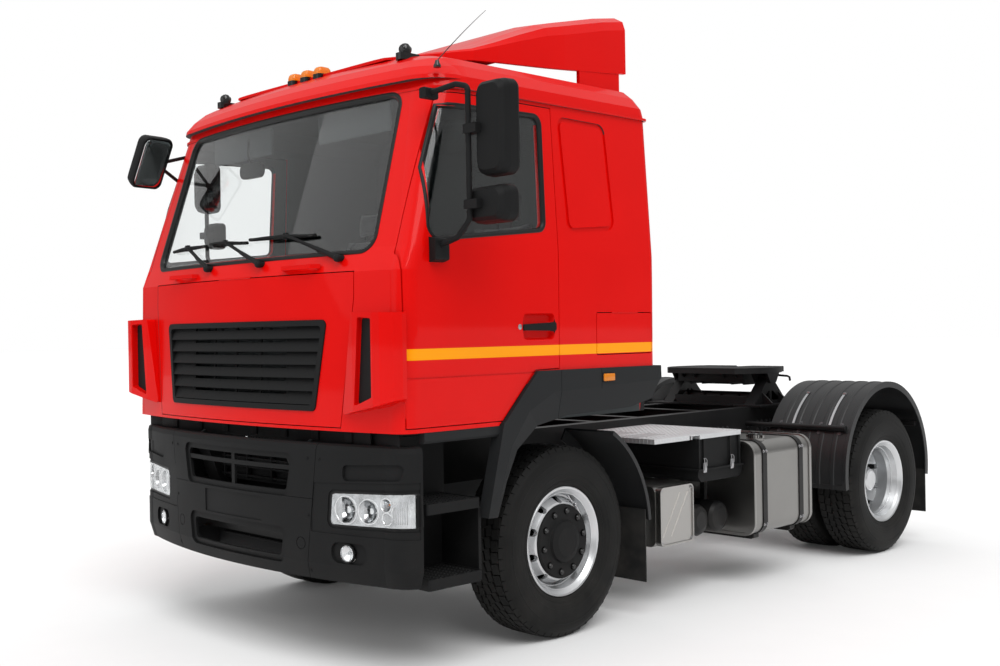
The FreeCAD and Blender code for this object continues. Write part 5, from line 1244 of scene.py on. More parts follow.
@dataclass
class Seating:
    """Both seats and the bunk."""

    seat_x: float = 0.6
    cushion: Pad = field(default_factory=lambda: Pad("seat_cushion", (0.492, 0.492, 0.118), channels_x=(-0.56, 0.56),
                                                     channels_y=(-0.55, -0.2, 0.15, 0.5), panel=0.56))
    back: Pad = field(default_factory=lambda: Pad("seat_back", (0.47, 0.63, 0.104), 0.014, channels_x=(-0.58, 0.58),
                                                  channels_y=(-0.6, -0.3, 0.0, 0.3, 0.62), panel=0.58))
    head: Pad = field(default_factory=lambda: Pad("head_rest", (0.25, 0.162, 0.082), 0.012, 0.006, 0.008, 0.008))
    mattress: Pad = field(default_factory=lambda: Pad("bunk_mattress", (2.31, 0.44, 0.104), 0.01, 0.006, 0.016,
                                                      0.01, 0.7, (-0.6, -0.2, 0.2, 0.6)))
    # half width, front, back, low, high and rounding of the blocks under a seat
    bases: Sequence[Co] = ((0.175, -0.395, -0.005, 1.266, 1.33, 0.01, 2), (0.15, -0.37, -0.03, 1.33, 1.52, 0.018, 3),
                           (0.178, -0.398, -0.002, 1.52, 1.578, 0.012, 3))

    def build(self) -> None:
        """Builds the pads, the seat bases, the head-rest posts and the bunk's board."""
        lean = radians(90) - atan2(0.1, 0.63)
        pads = ((self.cushion, shift(0.0, -0.23, 1.64)),
                (self.back, shift(0.0, 0.075, 2.016) @ Matrix.Rotation(lean, 4, "X")),
                (self.head, shift(0.0, 0.145, 2.418) @ Matrix.Rotation(radians(84), 4, "X")))
        pieces = []
        for pad, where in pads:
            mesh = pad.swell()
            pieces += [pad.lay(mesh, Matrix.Translation((side * self.seat_x, 0.0, 0.0)) @ where, f"{pad.name}_{name}")
                       for side, name in SIDES]
        pieces.append(self.frames().piece("seat_bases", "cab", "trim", "charcoal"))
        for piece in pieces:
            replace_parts(piece, "seats")
        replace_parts(self.mattress.lay(self.mattress.swell(), shift(0.0, 0.45, 1.885), "bunk_mattress"), "bunk")
        board = Shape()
        board.prism(rounded_box(-1.19, station(0.212), 1.19, station(0.688), 0.02), "Z", 1.801, 1.829)
        board.prism(rounded_box(-1.18, station(0.218), 1.18, station(0.23), 0.004), "Z", 1.829, 1.846)
        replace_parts(board.piece("bunk_board", "cab", "trim", "trim"), "bunk")

    def frames(self) -> Shape:
        """The bases of both seats and the posts of their head rests."""
        frames = Shape()
        for x in (self.seat_x, -self.seat_x):
            for half, y0, y1, z0, z1, rounding, steps in self.bases:
                frames.block((x - half, station(y0), z0), (x + half, station(y1), z1), rounding, steps)
            for z in (1.35, 1.384, 1.418, 1.452, 1.486):
                frames.block((x - 0.158, station(-0.378), z), (x + 0.158, station(-0.022), z + 0.014), 0.006)
            for dx in (-0.055, 0.055):
                frames.tube([(x + dx, station(0.133), 2.3), (x + dx, station(0.14), 2.35)], 0.007, 10)
        return frames


@dataclass
class CabFittings:
    """Interior mirror, sun visors, instrument hood, vents, and the doors' inner fittings."""

    mirror: Point = (-0.37, -0.985, 2.668)
    hood: Outline = ((-1.02, -0.02), (-1.01, 0.03), (-0.94, 0.052), (-0.85, 0.04), (-0.845, 0.03),
                     (-0.9, -0.02))
    vents: Co = (-0.95, -0.55, -0.12, 0.12, 0.97)
    dials: Outline = ((0.505, 0.05), (0.695, 0.05), (0.6, 0.028))

    def build(self) -> None:
        """Builds the fittings."""
        mirror, visors = Shape(), Shape()
        x, y, z = self.mirror[0], station(self.mirror[1]), self.mirror[2]
        mirror.prism(rounded_box(x - 0.11, z - 0.045, x + 0.11, z + 0.045, 0.04, 0.0, 6), "Y", y - 0.016, y + 0.01)
        mirror.tube([(x, y - 0.01, z + 0.03), (x, y - 0.03, z + 0.09), (x, y - 0.024, z + 0.177)], 0.007, 10)
        mirror.piece("interior_mirror", "cab", "trim", "charcoal")
        for x in (-0.52, 0.52):
            visors.block((x - 0.3, station(-0.955), 2.745), (x + 0.3, station(-0.935), 2.905), 0.008, 3)
        visors.piece("sun_visors", "cab", "trim", "trim")
        self.dash()
        self.doors()

    def dash(self) -> None:
        """The hood over the instruments, their dials and the air vents."""
        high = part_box("dashboard")[1].z
        skin = Skin("dashboard")
        hood, dials = Shape(), Shape()
        hood.prism([(station(y), high + z) for y, z in self.hood], "X", 0.38, 0.82)
        for x in self.vents:
            spot, _ = skin.hit((x, 0.5, 1.985), (0, -1, 0))
            if spot is not None:
                hood.block((x - 0.06, spot.y - 0.002, 1.955), (x + 0.06, spot.y + 0.006, 2.015), 0.003)
                for k in range(5):
                    z = 1.962 + k * 0.0105
                    hood.block((x - 0.052, spot.y + 0.004, z), (x + 0.052, spot.y + 0.011, z + 0.004), 0.001)
        for x, r in self.dials:
            dials.lathe([(0.0, 0.0), (r - 0.004, 0.0), (r - 0.003, 0.004), (r, 0.004), (r, -0.006), (0.0, -0.006)],
                        (x, station(-0.868), high + 0.004), (0.0, 0.93, 0.36), 32)
        hood.piece("instrument_hood", "cab", "trim", "trim")
        dials.piece("instrument_dials", "cab", "trim", "black_gloss")

    def doors(self) -> None:
        """Arm rests, pulls and speaker grilles on the inside of both doors."""
        for side, name in SIDES:
            spot, _ = Skin("door_" + name).hit((0.0, station(-0.6), 1.8), (side, 0, 0))
            x = spot.x if spot is not None else side * 1.19
            inner = x - side * 0.055
            shape = Shape()
            shape.block((min(x, inner), station(-0.86), 1.78), (max(x, inner), station(-0.3), 1.835), 0.014, 3)
            shape.tube([(x - side * out, station(y), z) for out, y, z in (
                (0.0, -0.5, 1.9), (0.03, -0.49, 1.905), (0.036, -0.43, 1.915), (0.03, -0.37, 1.925),
                (0.0, -0.36, 1.93))], 0.008, 10)
            for r in (0.075, 0.058, 0.04, 0.022):
                shape.lathe([(r, -0.001), (r, 0.006), (r - 0.006, 0.006), (r - 0.006, -0.001)],
                            (x, station(-0.8), 1.56), (-side, 0, 0), 32, True)
            shape.piece("door_fittings_" + name, "door_" + name, "trim", "charcoal")


# ------------------------------------------------------------------ chassis details
@dataclass
class Treads:
    """Raised anti-slip collars on the cab steps, and the relief of the catwalk."""

    levels: Co = (0.862, 0.496)
    plate_z: float = 1.03
    probes: Outline = ((-0.012, -0.012), (0.012, 0.012), (0.0, 0.0), (0.03, 0.03), (0.01, 0.03))

    def build(self) -> None:
        """Builds the collars of both sides and the catwalk's raised marks."""
        grid = Pattern("collared_holes", {"Collar": 0.0085, "Height": 0.005, "Sides": 12.0})
        sides, high, edge = grid.size["Sides"], grid.size["Height"], grid.part("Collar", 0.72)
        outer = grid.cone(sides, grid.size["Collar"], edge, high, "NONE")
        grid.close(grid.aimed(grid.together(outer, grid.cone(sides, grid.part("Collar", 0.5), edge, high))))
        skin = Skin("cab_steps")
        for side, name in SIDES:
            places = []
            for level in self.levels:
                for row in range(7):
                    y = station(-1.092) + row * 0.048
                    for k in range(11):
                        x = side * (0.985 + k * 0.0235 + (0.01175 if row % 2 else 0.0))
                        spot, _ = skin.hit((x, y, level + 0.15), (0, 0, -1))
                        if spot is not None and abs(spot.z - level) < 0.02:
                            places.append((spot, (0.0, 0.0, 1.0)))
            mesh = grid.made(carrier(places), "charcoal")
            place("step_treads_" + name, mesh, "chassis", "plastic_dark", "charcoal")
        self.catwalk()

    def catwalk(self) -> None:
        """Lozenges on the catwalk's plate."""
        marks = Pattern("plate_lozenges", {"Length": 0.024, "Width": 0.0065, "Height": 0.0018})
        bar = marks.t.out("GeometryNodeMeshCylinder", {"Vertices": 8, "Radius": 0.5, "Depth": 1.0})
        bar = marks.moved(bar, scale=marks.vector(marks.size["Length"], marks.size["Width"], marks.size["Height"]))
        left, right = (marks.moved(bar, (reach, reach, 0.0), (0.0, 0.0, radians(turn)))
                       for reach, turn in ((0.0, 45), (0.02, -45)))
        marks.close(marks.spread(marks.together(left, right)))
        skin = Skin("catwalk")
        places = []
        for x in (0.445 + i * 0.0375 for i in range(19)):
            for y in (station(0.865) + j * 0.041 for j in range(22)):
                spots = [skin.top(x + dx, y + dy)[0] for dx, dy in self.probes]
                if all(spot is not None and abs(spot.z - self.plate_z) < 0.002 for spot in spots):
                    places.append(((x, y, self.plate_z + 0.0004), (0.0, 0.0, 1.0)))
        mesh = marks.made(carrier(places), "tread_plate")
        place("catwalk_relief", mesh, "chassis", "tread_plate", "tread_plate")


@dataclass
class SideBoxes:
    """Latches, ribs, seams, caps and bolts on the battery box, silencer and tanks."""

    tank_ends: Co = (1.816, 2.514)
    straps: Co = (1.935, 2.392)
    battery_x: float = 1.1615
    battery_y: Co = (1.335, 1.64)

    def build(self, fastenings: Fastenings) -> None:
        """Builds the small parts between the axles.

        Args:
            fastenings: The shared fastenings.
        """
        self.latches()
        skin = Skin("silencer")
        spots = [skin.side(station(y), z)[0] for y in (0.905, 1.21) for z in (0.398, 0.714)]
        places = [(spot, (1.0, 0.0, 0.0)) for spot in spots if spot is not None]
        fastenings.bolts("silencer_cover_bolts", "chassis", places,
                         (0.0075, 0.006, 0.012, 0.0), "aluminium", "dull_metal")
        self.tank_parts(fastenings)
        self.battery_lid()

    def latches(self) -> None:
        """Two spring latches that hold the battery cover."""
        shape = Shape()
        x = self.battery_x
        for y in map(station, self.battery_y):
            shape.block((x, y - 0.017, 0.79), (x + 0.005, y + 0.017, 0.852), 0.0015)
            shape.block((x + 0.004, y - 0.011, 0.8), (x + 0.011, y + 0.011, 0.835), 0.003)
            shape.tube([(x + out, y + dy, z) for out, dy, z in (
                (0.009, -0.013, 0.832), (0.009, -0.013, 0.868), (0.002, -0.009, 0.878), (0.002, 0.009, 0.878),
                (0.009, 0.013, 0.868), (0.009, 0.013, 0.832))], 0.0022, 8)
        shape.piece("battery_latches", "chassis", "aluminium", "dull_metal")

    def battery_lid(self) -> None:
        """Pressed ribs on the battery cover's outer face."""
        skin = Skin("battery_box")
        shape = Shape()
        for y in map(station, self.battery_y):
            spot, _ = skin.side(y, 0.905)
            if spot is not None:
                shape.block((spot.x - 0.002, y - 0.004, 0.815), (spot.x + 0.003, y + 0.004, 0.99), 0.0015)
        shape.piece("battery_cover_ribs", "chassis", "plastic_dark", "charcoal")

    def tank_parts(self, fastenings: Fastenings) -> None:
        """Strap bolts, the locking caps and end-plate seams.

        Args:
            fastenings: The shared fastenings.
        """
        bolts, seams, caps = [], Shape(), Shape()
        skin = Skin("tank_straps", "fuel_tanks")
        for side in (1.0, -1.0):
            for y in (station(strap) + step for strap in self.straps for step in (-0.016, 0.016)):
                for z in (0.88, 0.4):
                    spot, _ = skin.side(y, z, side > 0)
                    if spot is not None:
                        bolts.append((spot, (side, 0.0, 0.0)))
            outline = rounded_box(side * 0.5605, 0.3305, side * 1.2245, 0.9495, 0.0895)
            for y in map(station, self.tank_ends):
                out = [Vector((x - side * 0.8925, 0.0, z - 0.64)).normalized() for x, z in outline]
                seams.sweep([(x, y, z) for x, z in outline],
                            [(-0.004, -0.002), (-0.0025, 0.0009), (0.0025, 0.0009), (0.004, -0.002)], out, True)
            x, y, z = side * 1.105, station(2.016), 0.9765
            caps.lathe([(0.0, 0.0), (0.0455, 0.0), (0.0455, 0.01), (0.041, 0.016), (0.02, 0.0185), (0.0, 0.0185)],
                       (x, y, z - 0.004), (0, 0, 1), 36)
            caps.block((x - 0.034, y - 0.0065, z + 0.01), (x + 0.034, y + 0.0065, z + 0.0215), 0.004)
            for a in circle(18):
                px, py = x + 0.0458 * cos(a), y + 0.0458 * sin(a)
                caps.block((px - 0.002, py - 0.002, z - 0.02), (px + 0.002, py + 0.002, z + 0.004))
        fastenings.bolts("tank_strap_bolts", "chassis", bolts, (0.0075, 0.006, 0.01, 0.004), finish="dull_metal")
        seams.piece("tank_end_seams", "chassis", "aluminium", "brushed")
        caps.piece("tank_caps", "chassis", "plastic_dark", "black_gloss")


@dataclass
class FrameBolts:
    """Bolts along the frame, the coupling's feet, the fenders and the bumper."""

    rail_y: Co = (0.8, 0.86, 1.24, 1.3, 1.86, 1.92, 2.3, 2.36, 2.62, 2.68, 2.74, 3.02, 3.08, 4.02, 4.08, 4.14)
    foot_y: Co = (3.16, 3.22, 3.28, 3.34, 3.4, 3.46, 3.52, 3.58, 3.64)
    fender_z: float = 0.61

    def build(self, fastenings: Fastenings) -> None:
        """Lays every group of bolts on the surface beneath it.

        Args:
            fastenings: The shared fastenings.
        """
        rails = Skin("frame_rails", "fifth_wheel_base", "fender_bars", "leaf_springs")
        places = []
        rows = [(y, z) for y in self.rail_y for z in (0.8, 0.87, 0.94)]
        rows += [(y, z) for y in self.foot_y for z in (0.9, 0.96)]
        for side in (1, -1):
            for y, z in rows:
                spot, normal = rails.hit((side * 0.6, station(y), z), (-side, 0, 0))
                if spot is not None and abs(abs(spot.x) - 0.45) < 0.06 and abs(normal.x) > 0.95:
                    places.append((spot, (side, 0.0, 0.0)))
        fastenings.bolts("rail_bolts", "chassis", places, (0.0105, 0.009, 0.016, 0.004))
        self.fenders(fastenings)
        self.fender_straps()
        self.coupling()
        self.bumper(fastenings)

    def on_fender(self, skin: Skin, x: float, angle: float) -> tuple[Optional[Vector], Vector]:
        """A point of the fender's outside at an angle about its centre, and the way inwards."""
        way = Vector((0.0, -cos(radians(angle)), -sin(radians(angle))))
        return skin.hit(Vector((x, station(3.595), self.fender_z)) - way * 0.9, way)[0], way

    def fenders(self, fastenings: Fastenings) -> None:
        """Bolts where the fenders sit on their bars, and the mudflaps' strips.

        Args:
            fastenings: The shared fastenings.
        """
        skin, flaps = Skin("rear_fenders"), Skin("mudflaps")
        places, flap_places = [], []
        for side in (1, -1):
            for angle in (152.0, 146.0, 34.0, 28.0):
                for x in (0.7, 0.86, 1.02, 1.18):
                    spot, way = self.on_fender(skin, side * x, angle)
                    if spot is not None:
                        places.append((spot, -way))
            for k in range(5):
                spot, _ = flaps.hit((side * (0.7 + k * 0.12), station(4.5), 0.535), (0, -1, 0))
                if spot is not None:
                    flap_places.append((spot, (0.0, 1.0, 0.0)))
        fastenings.bolts("fender_bolts", "chassis", places, (0.0085, 0.006, 0.015, 0.0), "plastic_dark")
        fastenings.bolts("mudflap_bolts", "chassis", flap_places, (0.0075, 0.005, 0.013, 0.0), "rubber")
        strips = Shape()
        strips.pair((0.64, station(4.2318), 0.3), (1.24, station(4.2345), 0.306), 0.001)
        for z in (0.33, 0.36, 0.39, 0.42, 0.45):
            strips.pair((0.66, station(4.2318), z), (1.22, station(4.234), z + 0.006), 0.001)
        strips.piece("mudflap_ribs", "chassis", "rubber", "rubber")

    def fender_straps(self) -> None:
        """The bright clamps that hold the fenders down on their bars."""
        skin = Skin("rear_fenders")
        straps = Shape()
        for x in (0.8, 1.09, -0.8, -1.09):
            spots = [self.on_fender(skin, x, 119.0 + k * 2.3) for k in range(13)]
            path = [spot - way * 0.003 for spot, way in spots if spot is not None]
            straps.sweep(path, [(-0.009, -0.001), (-0.009, 0.003), (0.009, 0.003), (0.009, -0.001)],
                         [-way for spot, way in spots if spot is not None])
            straps.block(path[0] + Vector((-0.012, -0.01, -0.006)), path[0] + Vector((0.012, 0.014, 0.01)), 0.003)
        straps.piece("fender_straps", "chassis", "aluminium", "dull_metal")

    def coupling(self) -> None:
        """Ribs and release lever under the coupling plate, and the tube between its cheeks."""
        ribs, tube = Shape(), Shape()
        outline = [(station(y), z) for y, z in ((3.12, 1.358), (3.66, 1.358), (3.6, 1.3), (3.48, 1.236),
                                                (3.28, 1.236), (3.16, 1.3))]
        for x in (-0.245, -0.135, 0.135, 0.245):
            ribs.prism(outline, "X", x - 0.007, x + 0.007)
        ribs.block((-0.3, station(3.175), 1.262), (0.3, station(3.19), 1.358), 0.002)
        ribs.block((-0.14, station(3.27), 1.24), (0.14, station(3.3), 1.3), 0.006)
        ribs.tube([(x, station(y), z) for x, y, z in ((0.08, 3.56, 1.318), (0.3, 3.565, 1.31), (0.452, 3.575, 1.3),
                                                      (0.47, 3.578, 1.292), (0.474, 3.58, 1.262))], 0.009)
        ribs.tube([(-0.1, station(3.24), 1.3), (0.1, station(3.24), 1.3)], 0.016, 16)
        ribs.piece("coupling_ribs", "coupling", "cast", "cast_black")
        tube.tube([(-0.33, station(3.38), 1.14), (0.33, station(3.38), 1.14)], 0.038, 24)
        web = [(station(y), z) for y, z in ((3.29, 1.092), (3.47, 1.092), (3.42, 1.165), (3.34, 1.165))]
        for x in (-0.31, -0.16, 0.0, 0.16, 0.31):
            tube.prism(web, "X", x - 0.006, x + 0.006)
        tube.piece("coupling_cross_tube", "chassis", "frame", "frame_black")

    def bumper(self, fastenings: Fastenings) -> None:
        """Screws on the bumper and its corners.

        Args:
            fastenings: The shared fastenings.
        """
        corner = Skin("bumper_corners", "front_bumper")
        places = []
        for side in (1, -1):
            for y, z in ((-1.15, 1.02), (-0.95, 1.02), (-1.15, 0.55), (-0.93, 0.55)):
                spot, normal = corner.side(station(y), z, side > 0)
                if spot is not None and abs(normal.x) > 0.8 and abs(spot.x) > 1.15:
                    places.append((spot, normal))
            for x, z in ((0.62, 1.07), (0.62, 0.78), (0.62, 0.5), (0.7, 1.07)):
                spot, normal = corner.front(side * x, z)
                if spot is not None:
                    places.append((spot, normal))
        fastenings.bolts("bumper_screws", "chassis", places, (0.0065, 0.003, 0.01, 0.0), "plastic_dark", "charcoal")


@dataclass
class RearLamps:
    """Fields and dividing bars of the tail lamps."""

    margin: float = 0.008

    def build(self) -> None:
        """Builds the amber and white fields that sit on each lamp."""
        low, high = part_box("tail_lamps")
        skin = Skin("tail_lamps")
        amber, white, rims = Shape(), Shape(), Shape()
        z0, z1 = low.z + self.margin, high.z - self.margin
        for side in (1, -1):
            steps = [high.x - 0.005 * k for k in range(ceil((high.x - 0.2) / 0.005))]
            found = [x for x in steps if skin.hit((side * x, 5.0, (z0 + z1) / 2), (0, -1, 0))[0] is not None]
            inner, outer = found[-1] + 0.006, found[0] - 0.006
            spot, _ = skin.hit((side * (inner + outer) / 2, 5.0, (z0 + z1) / 2), (0, -1, 0))
            y = spot.y
            width = outer - inner
            for shape, a, b in ((amber, 0.7, 1.0), (white, 0.0, 0.2)):
                xa, xb = side * (inner + width * a), side * (inner + width * b)
                shape.block((min(xa, xb), y - 0.002, z0), (max(xa, xb), y + 0.0025, z1), 0.002)
            for a in (0.2, 0.45, 0.7):
                xa = side * (inner + width * a)
                rims.block((xa - 0.0025, y - 0.002, z0 - 0.003), (xa + 0.0025, y + 0.0035, z1 + 0.003), 0.001)
        amber.piece("tail_lamp_indicators", "chassis", "tail_lamp", "amber")
        white.piece("tail_lamp_reversing", "chassis", "tail_lamp", "white_lens")
        rims.piece("tail_lamp_bars", "chassis", "plastic_dark", "charcoal")


# ------------------------------------------------------------------ front of the cab and bumper
def laid_seal(shape: Shape, path: Sequence[Vector], normals: Sequence[Vector], inner: float, outer: float,
              height: float, sink: float = 0.0145) -> None:
    """Lays a rounded rubber profile round a closed path on a surface.

    Args:
        shape: The shape that it is added to.
        path: Points of the glass's edge.
        normals: The surface's normal at each point.
        inner: How far the profile reaches over the glass.
        outer: How far it reaches over the panel.
        height: How far it stands proud.
        sink: How far the glass lies below the panel.
    """
    middle = sum(path, Vector()) / len(path)
    sign = copysign(1.0, (path[1] - path[-1]).normalized().cross(normals[0]).dot(path[0] - middle))
    lip = min(inner, outer) * 0.35
    section = [(-inner, -sink - 0.002), (-inner, -sink + 0.004), (-inner + lip, -sink * 0.3), (0.0, height),
               (outer - lip, height), (outer, height * 0.4), (outer, -0.003)]
    shape.sweep(path, [(u * sign, v) for u, v in section], normals, True)


def laid_path(skin: Skin, outline: Outline, front: bool, left: bool = True,
              outward: float = 0.014) -> tuple[list[Vector], list[Vector]]:
    """Lifts a flat outline onto the panel round a glass, reading the surface a little outside it.

    Args:
        skin: The panels round the glass.
        outline: Points in X and Z for a front glass, in Y and Z for a side one.
        front: Whether it is a front glass.
        left: Whether a side glass is on the left.
        outward: How far outside the outline the surface is read.

    Returns:
        The points and normals on the surface.
    """
    mx, mz = (sum(values) / len(outline) for values in zip(*outline))
    points, normals = [], []
    for u, z in outline:
        away = hypot(u - mx, z - mz)
        k = (away + outward) / away
        ru, rz = mx + (u - mx) * k, mz + (z - mz) * k
        spot, normal = skin.front(ru, rz) if front else skin.side(ru, rz, left)
        if spot is not None:
            step = Vector((u - ru, 0.0, z - rz) if front else (0.0, u - ru, z - rz))
            points.append(spot + step - normal * step.dot(normal))
            normals.append(normal)
    return points, normals


@dataclass
class GlassSeals:
    """Rubber seals round the windscreen and the door windows."""

    screen: Outline = ((-1.0, 2.112), (1.0, 2.112), (0.955, 2.905), (-0.955, 2.905))
    screen_corner: float = 0.07
    window: Outline = ((-1.092, 2.2), (-1.045, 2.16), (-0.25, 2.238), (-0.236, 2.838), (-1.036, 2.822))
    window_corner: float = 0.045

    def build(self) -> None:
        """Builds the three seals."""
        shape = Shape()
        outline = spaced(rounded_outline(self.screen, self.screen_corner, 0.004, 7), 0.05)
        laid_seal(shape, *laid_path(Skin("cab_body", "cab_roof"), outline, True), 0.013, 0.018, 0.006)
        shape.piece("windscreen_seal", "cab", "rubber", "seal", 50.0)
        corners = [(station(y), z) for y, z in self.window]
        outline = spaced(rounded_outline(corners, self.window_corner, 0.003, 6), 0.05)
        for side, name in SIDES:
            shape = Shape()
            laid_seal(shape, *laid_path(Skin("door_" + name), outline, False, side > 0), 0.012, 0.014, 0.004)
            shape.piece("door_window_seal_" + name, "door_" + name, "rubber", "seal", 50.0)


@dataclass
class FrontBay:
    """What stands behind the bumper's openings and below the cab's front edge: dark sheets, slats and ribs whose black
    is painted shade, and the radiator.
    """

    half: float = 0.56
    slat_z: Co = (0.905, 0.955, 1.005, 1.05)
    rib_x: Co = (-0.56, -0.34, -0.115, 0.115, 0.34, 0.55)
    apron_x: Co = (-0.82, -0.55, -0.28, 0.0, 0.28, 0.55, 0.82)

    def build(self) -> None:
        """Builds the dark pan, its ribs, the cab's apron and the radiator's face, all in painted-shade black, and the
        radiator's core.
        """
        pan, apron, face = Shape(), Shape(), Shape()
        y0, y1, back = station(-1.236), station(-1.206), station(-1.2)
        for z in self.slat_z:
            pan.block((-self.half, y0, z), (self.half, y1, z + 0.012), 0.003)
        for x in self.rib_x:
            pan.block((x - 0.006, y0 - 0.004, 0.895), (x + 0.006, y1, 1.068), 0.002)
        # Dark sheets and closers in painted shade fill the openings below and above the bumper.
        pan.block((-self.half, y1, 0.88), (self.half, back, 1.072), 0.002)
        pan.block((-0.62, back, 0.47), (0.62, back + 0.005, 0.76), 0.002)
        for z in (0.56, 0.6, 0.64):
            pan.block((-0.4, back - 0.022, z), (0.4, back, z + 0.012), 0.003)
        pan.pair((0.47, station(-1.375), 0.49), (0.476, back, 0.6), 0.001)
        pan.pair((0.962, y0, 1.12), (1.165, station(-1.23), 1.206), 0.001)
        pan.pair((0.59, station(-1.36), 0.88), (0.596, y1, 1.072), 0.001)
        pan.piece("bay_panel", "chassis", "plastic_dark", "painted_shade")
        apron.block((-0.98, station(-1.262), 1.135), (0.98, station(-1.256), 1.262), 0.002)
        for x in self.apron_x:
            apron.block((x - 0.03, station(-1.274), 1.15), (x + 0.03, station(-1.254), 1.215), 0.008)
        apron.piece("cab_front_apron", "cab", "trim", "painted_shade")
        self.radiator()
        # A dark sheet in painted shade among the radiator's fins.
        face.prism(rounded_box(-0.349, 0.535, 0.349, 1.176, 0.02), "Y", station(-1.0715), station(-1.07))
        face.piece("radiator_face", "chassis", "aluminium", "painted_shade")

    def radiator(self) -> None:
        """The radiator's core of fins and tubes."""
        core = Pattern("radiator_fins", {"Width": 0.66, "Height": 0.61, "Rows": 58.0, "Fin": 0.0025})
        high, rows = core.size["Height"], core.size["Rows"]
        fins = core.spread(core.block(core.size["Width"], 0.012, core.size["Fin"]),
                           core.line(rows, core.vector(0.0, 0.0, core.t.math("DIVIDE", high, rows))))
        rod = core.moved(core.block(0.004, 0.016, high), core.vector(0.0, 0.0, core.part("Height", 0.5)))
        tubes = core.spread(rod, core.line(24, (0.0275, 0.0, 0.0)))
        core.close(core.together(fins, core.moved(tubes, (-0.316, 0.0, 0.0))))
        mesh = core.made(carrier([((0.0, 0.0, 0.0), (0.0, 0.0, 1.0))]), "brushed")
        mesh.transform(shift(0.0, -1.074, 0.552))
        place("radiator_core", mesh, "chassis", "aluminium", "brushed")


def bumper_arc(x: float) -> float:
    """The station of the bumper's curved face, from the distance off the middle."""
    return station(-1.425 + x * x / 8)


def mean(points: Sequence[Vector]) -> Vector:
    """The middle of some points."""
    return sum(points, Vector()) / len(points)


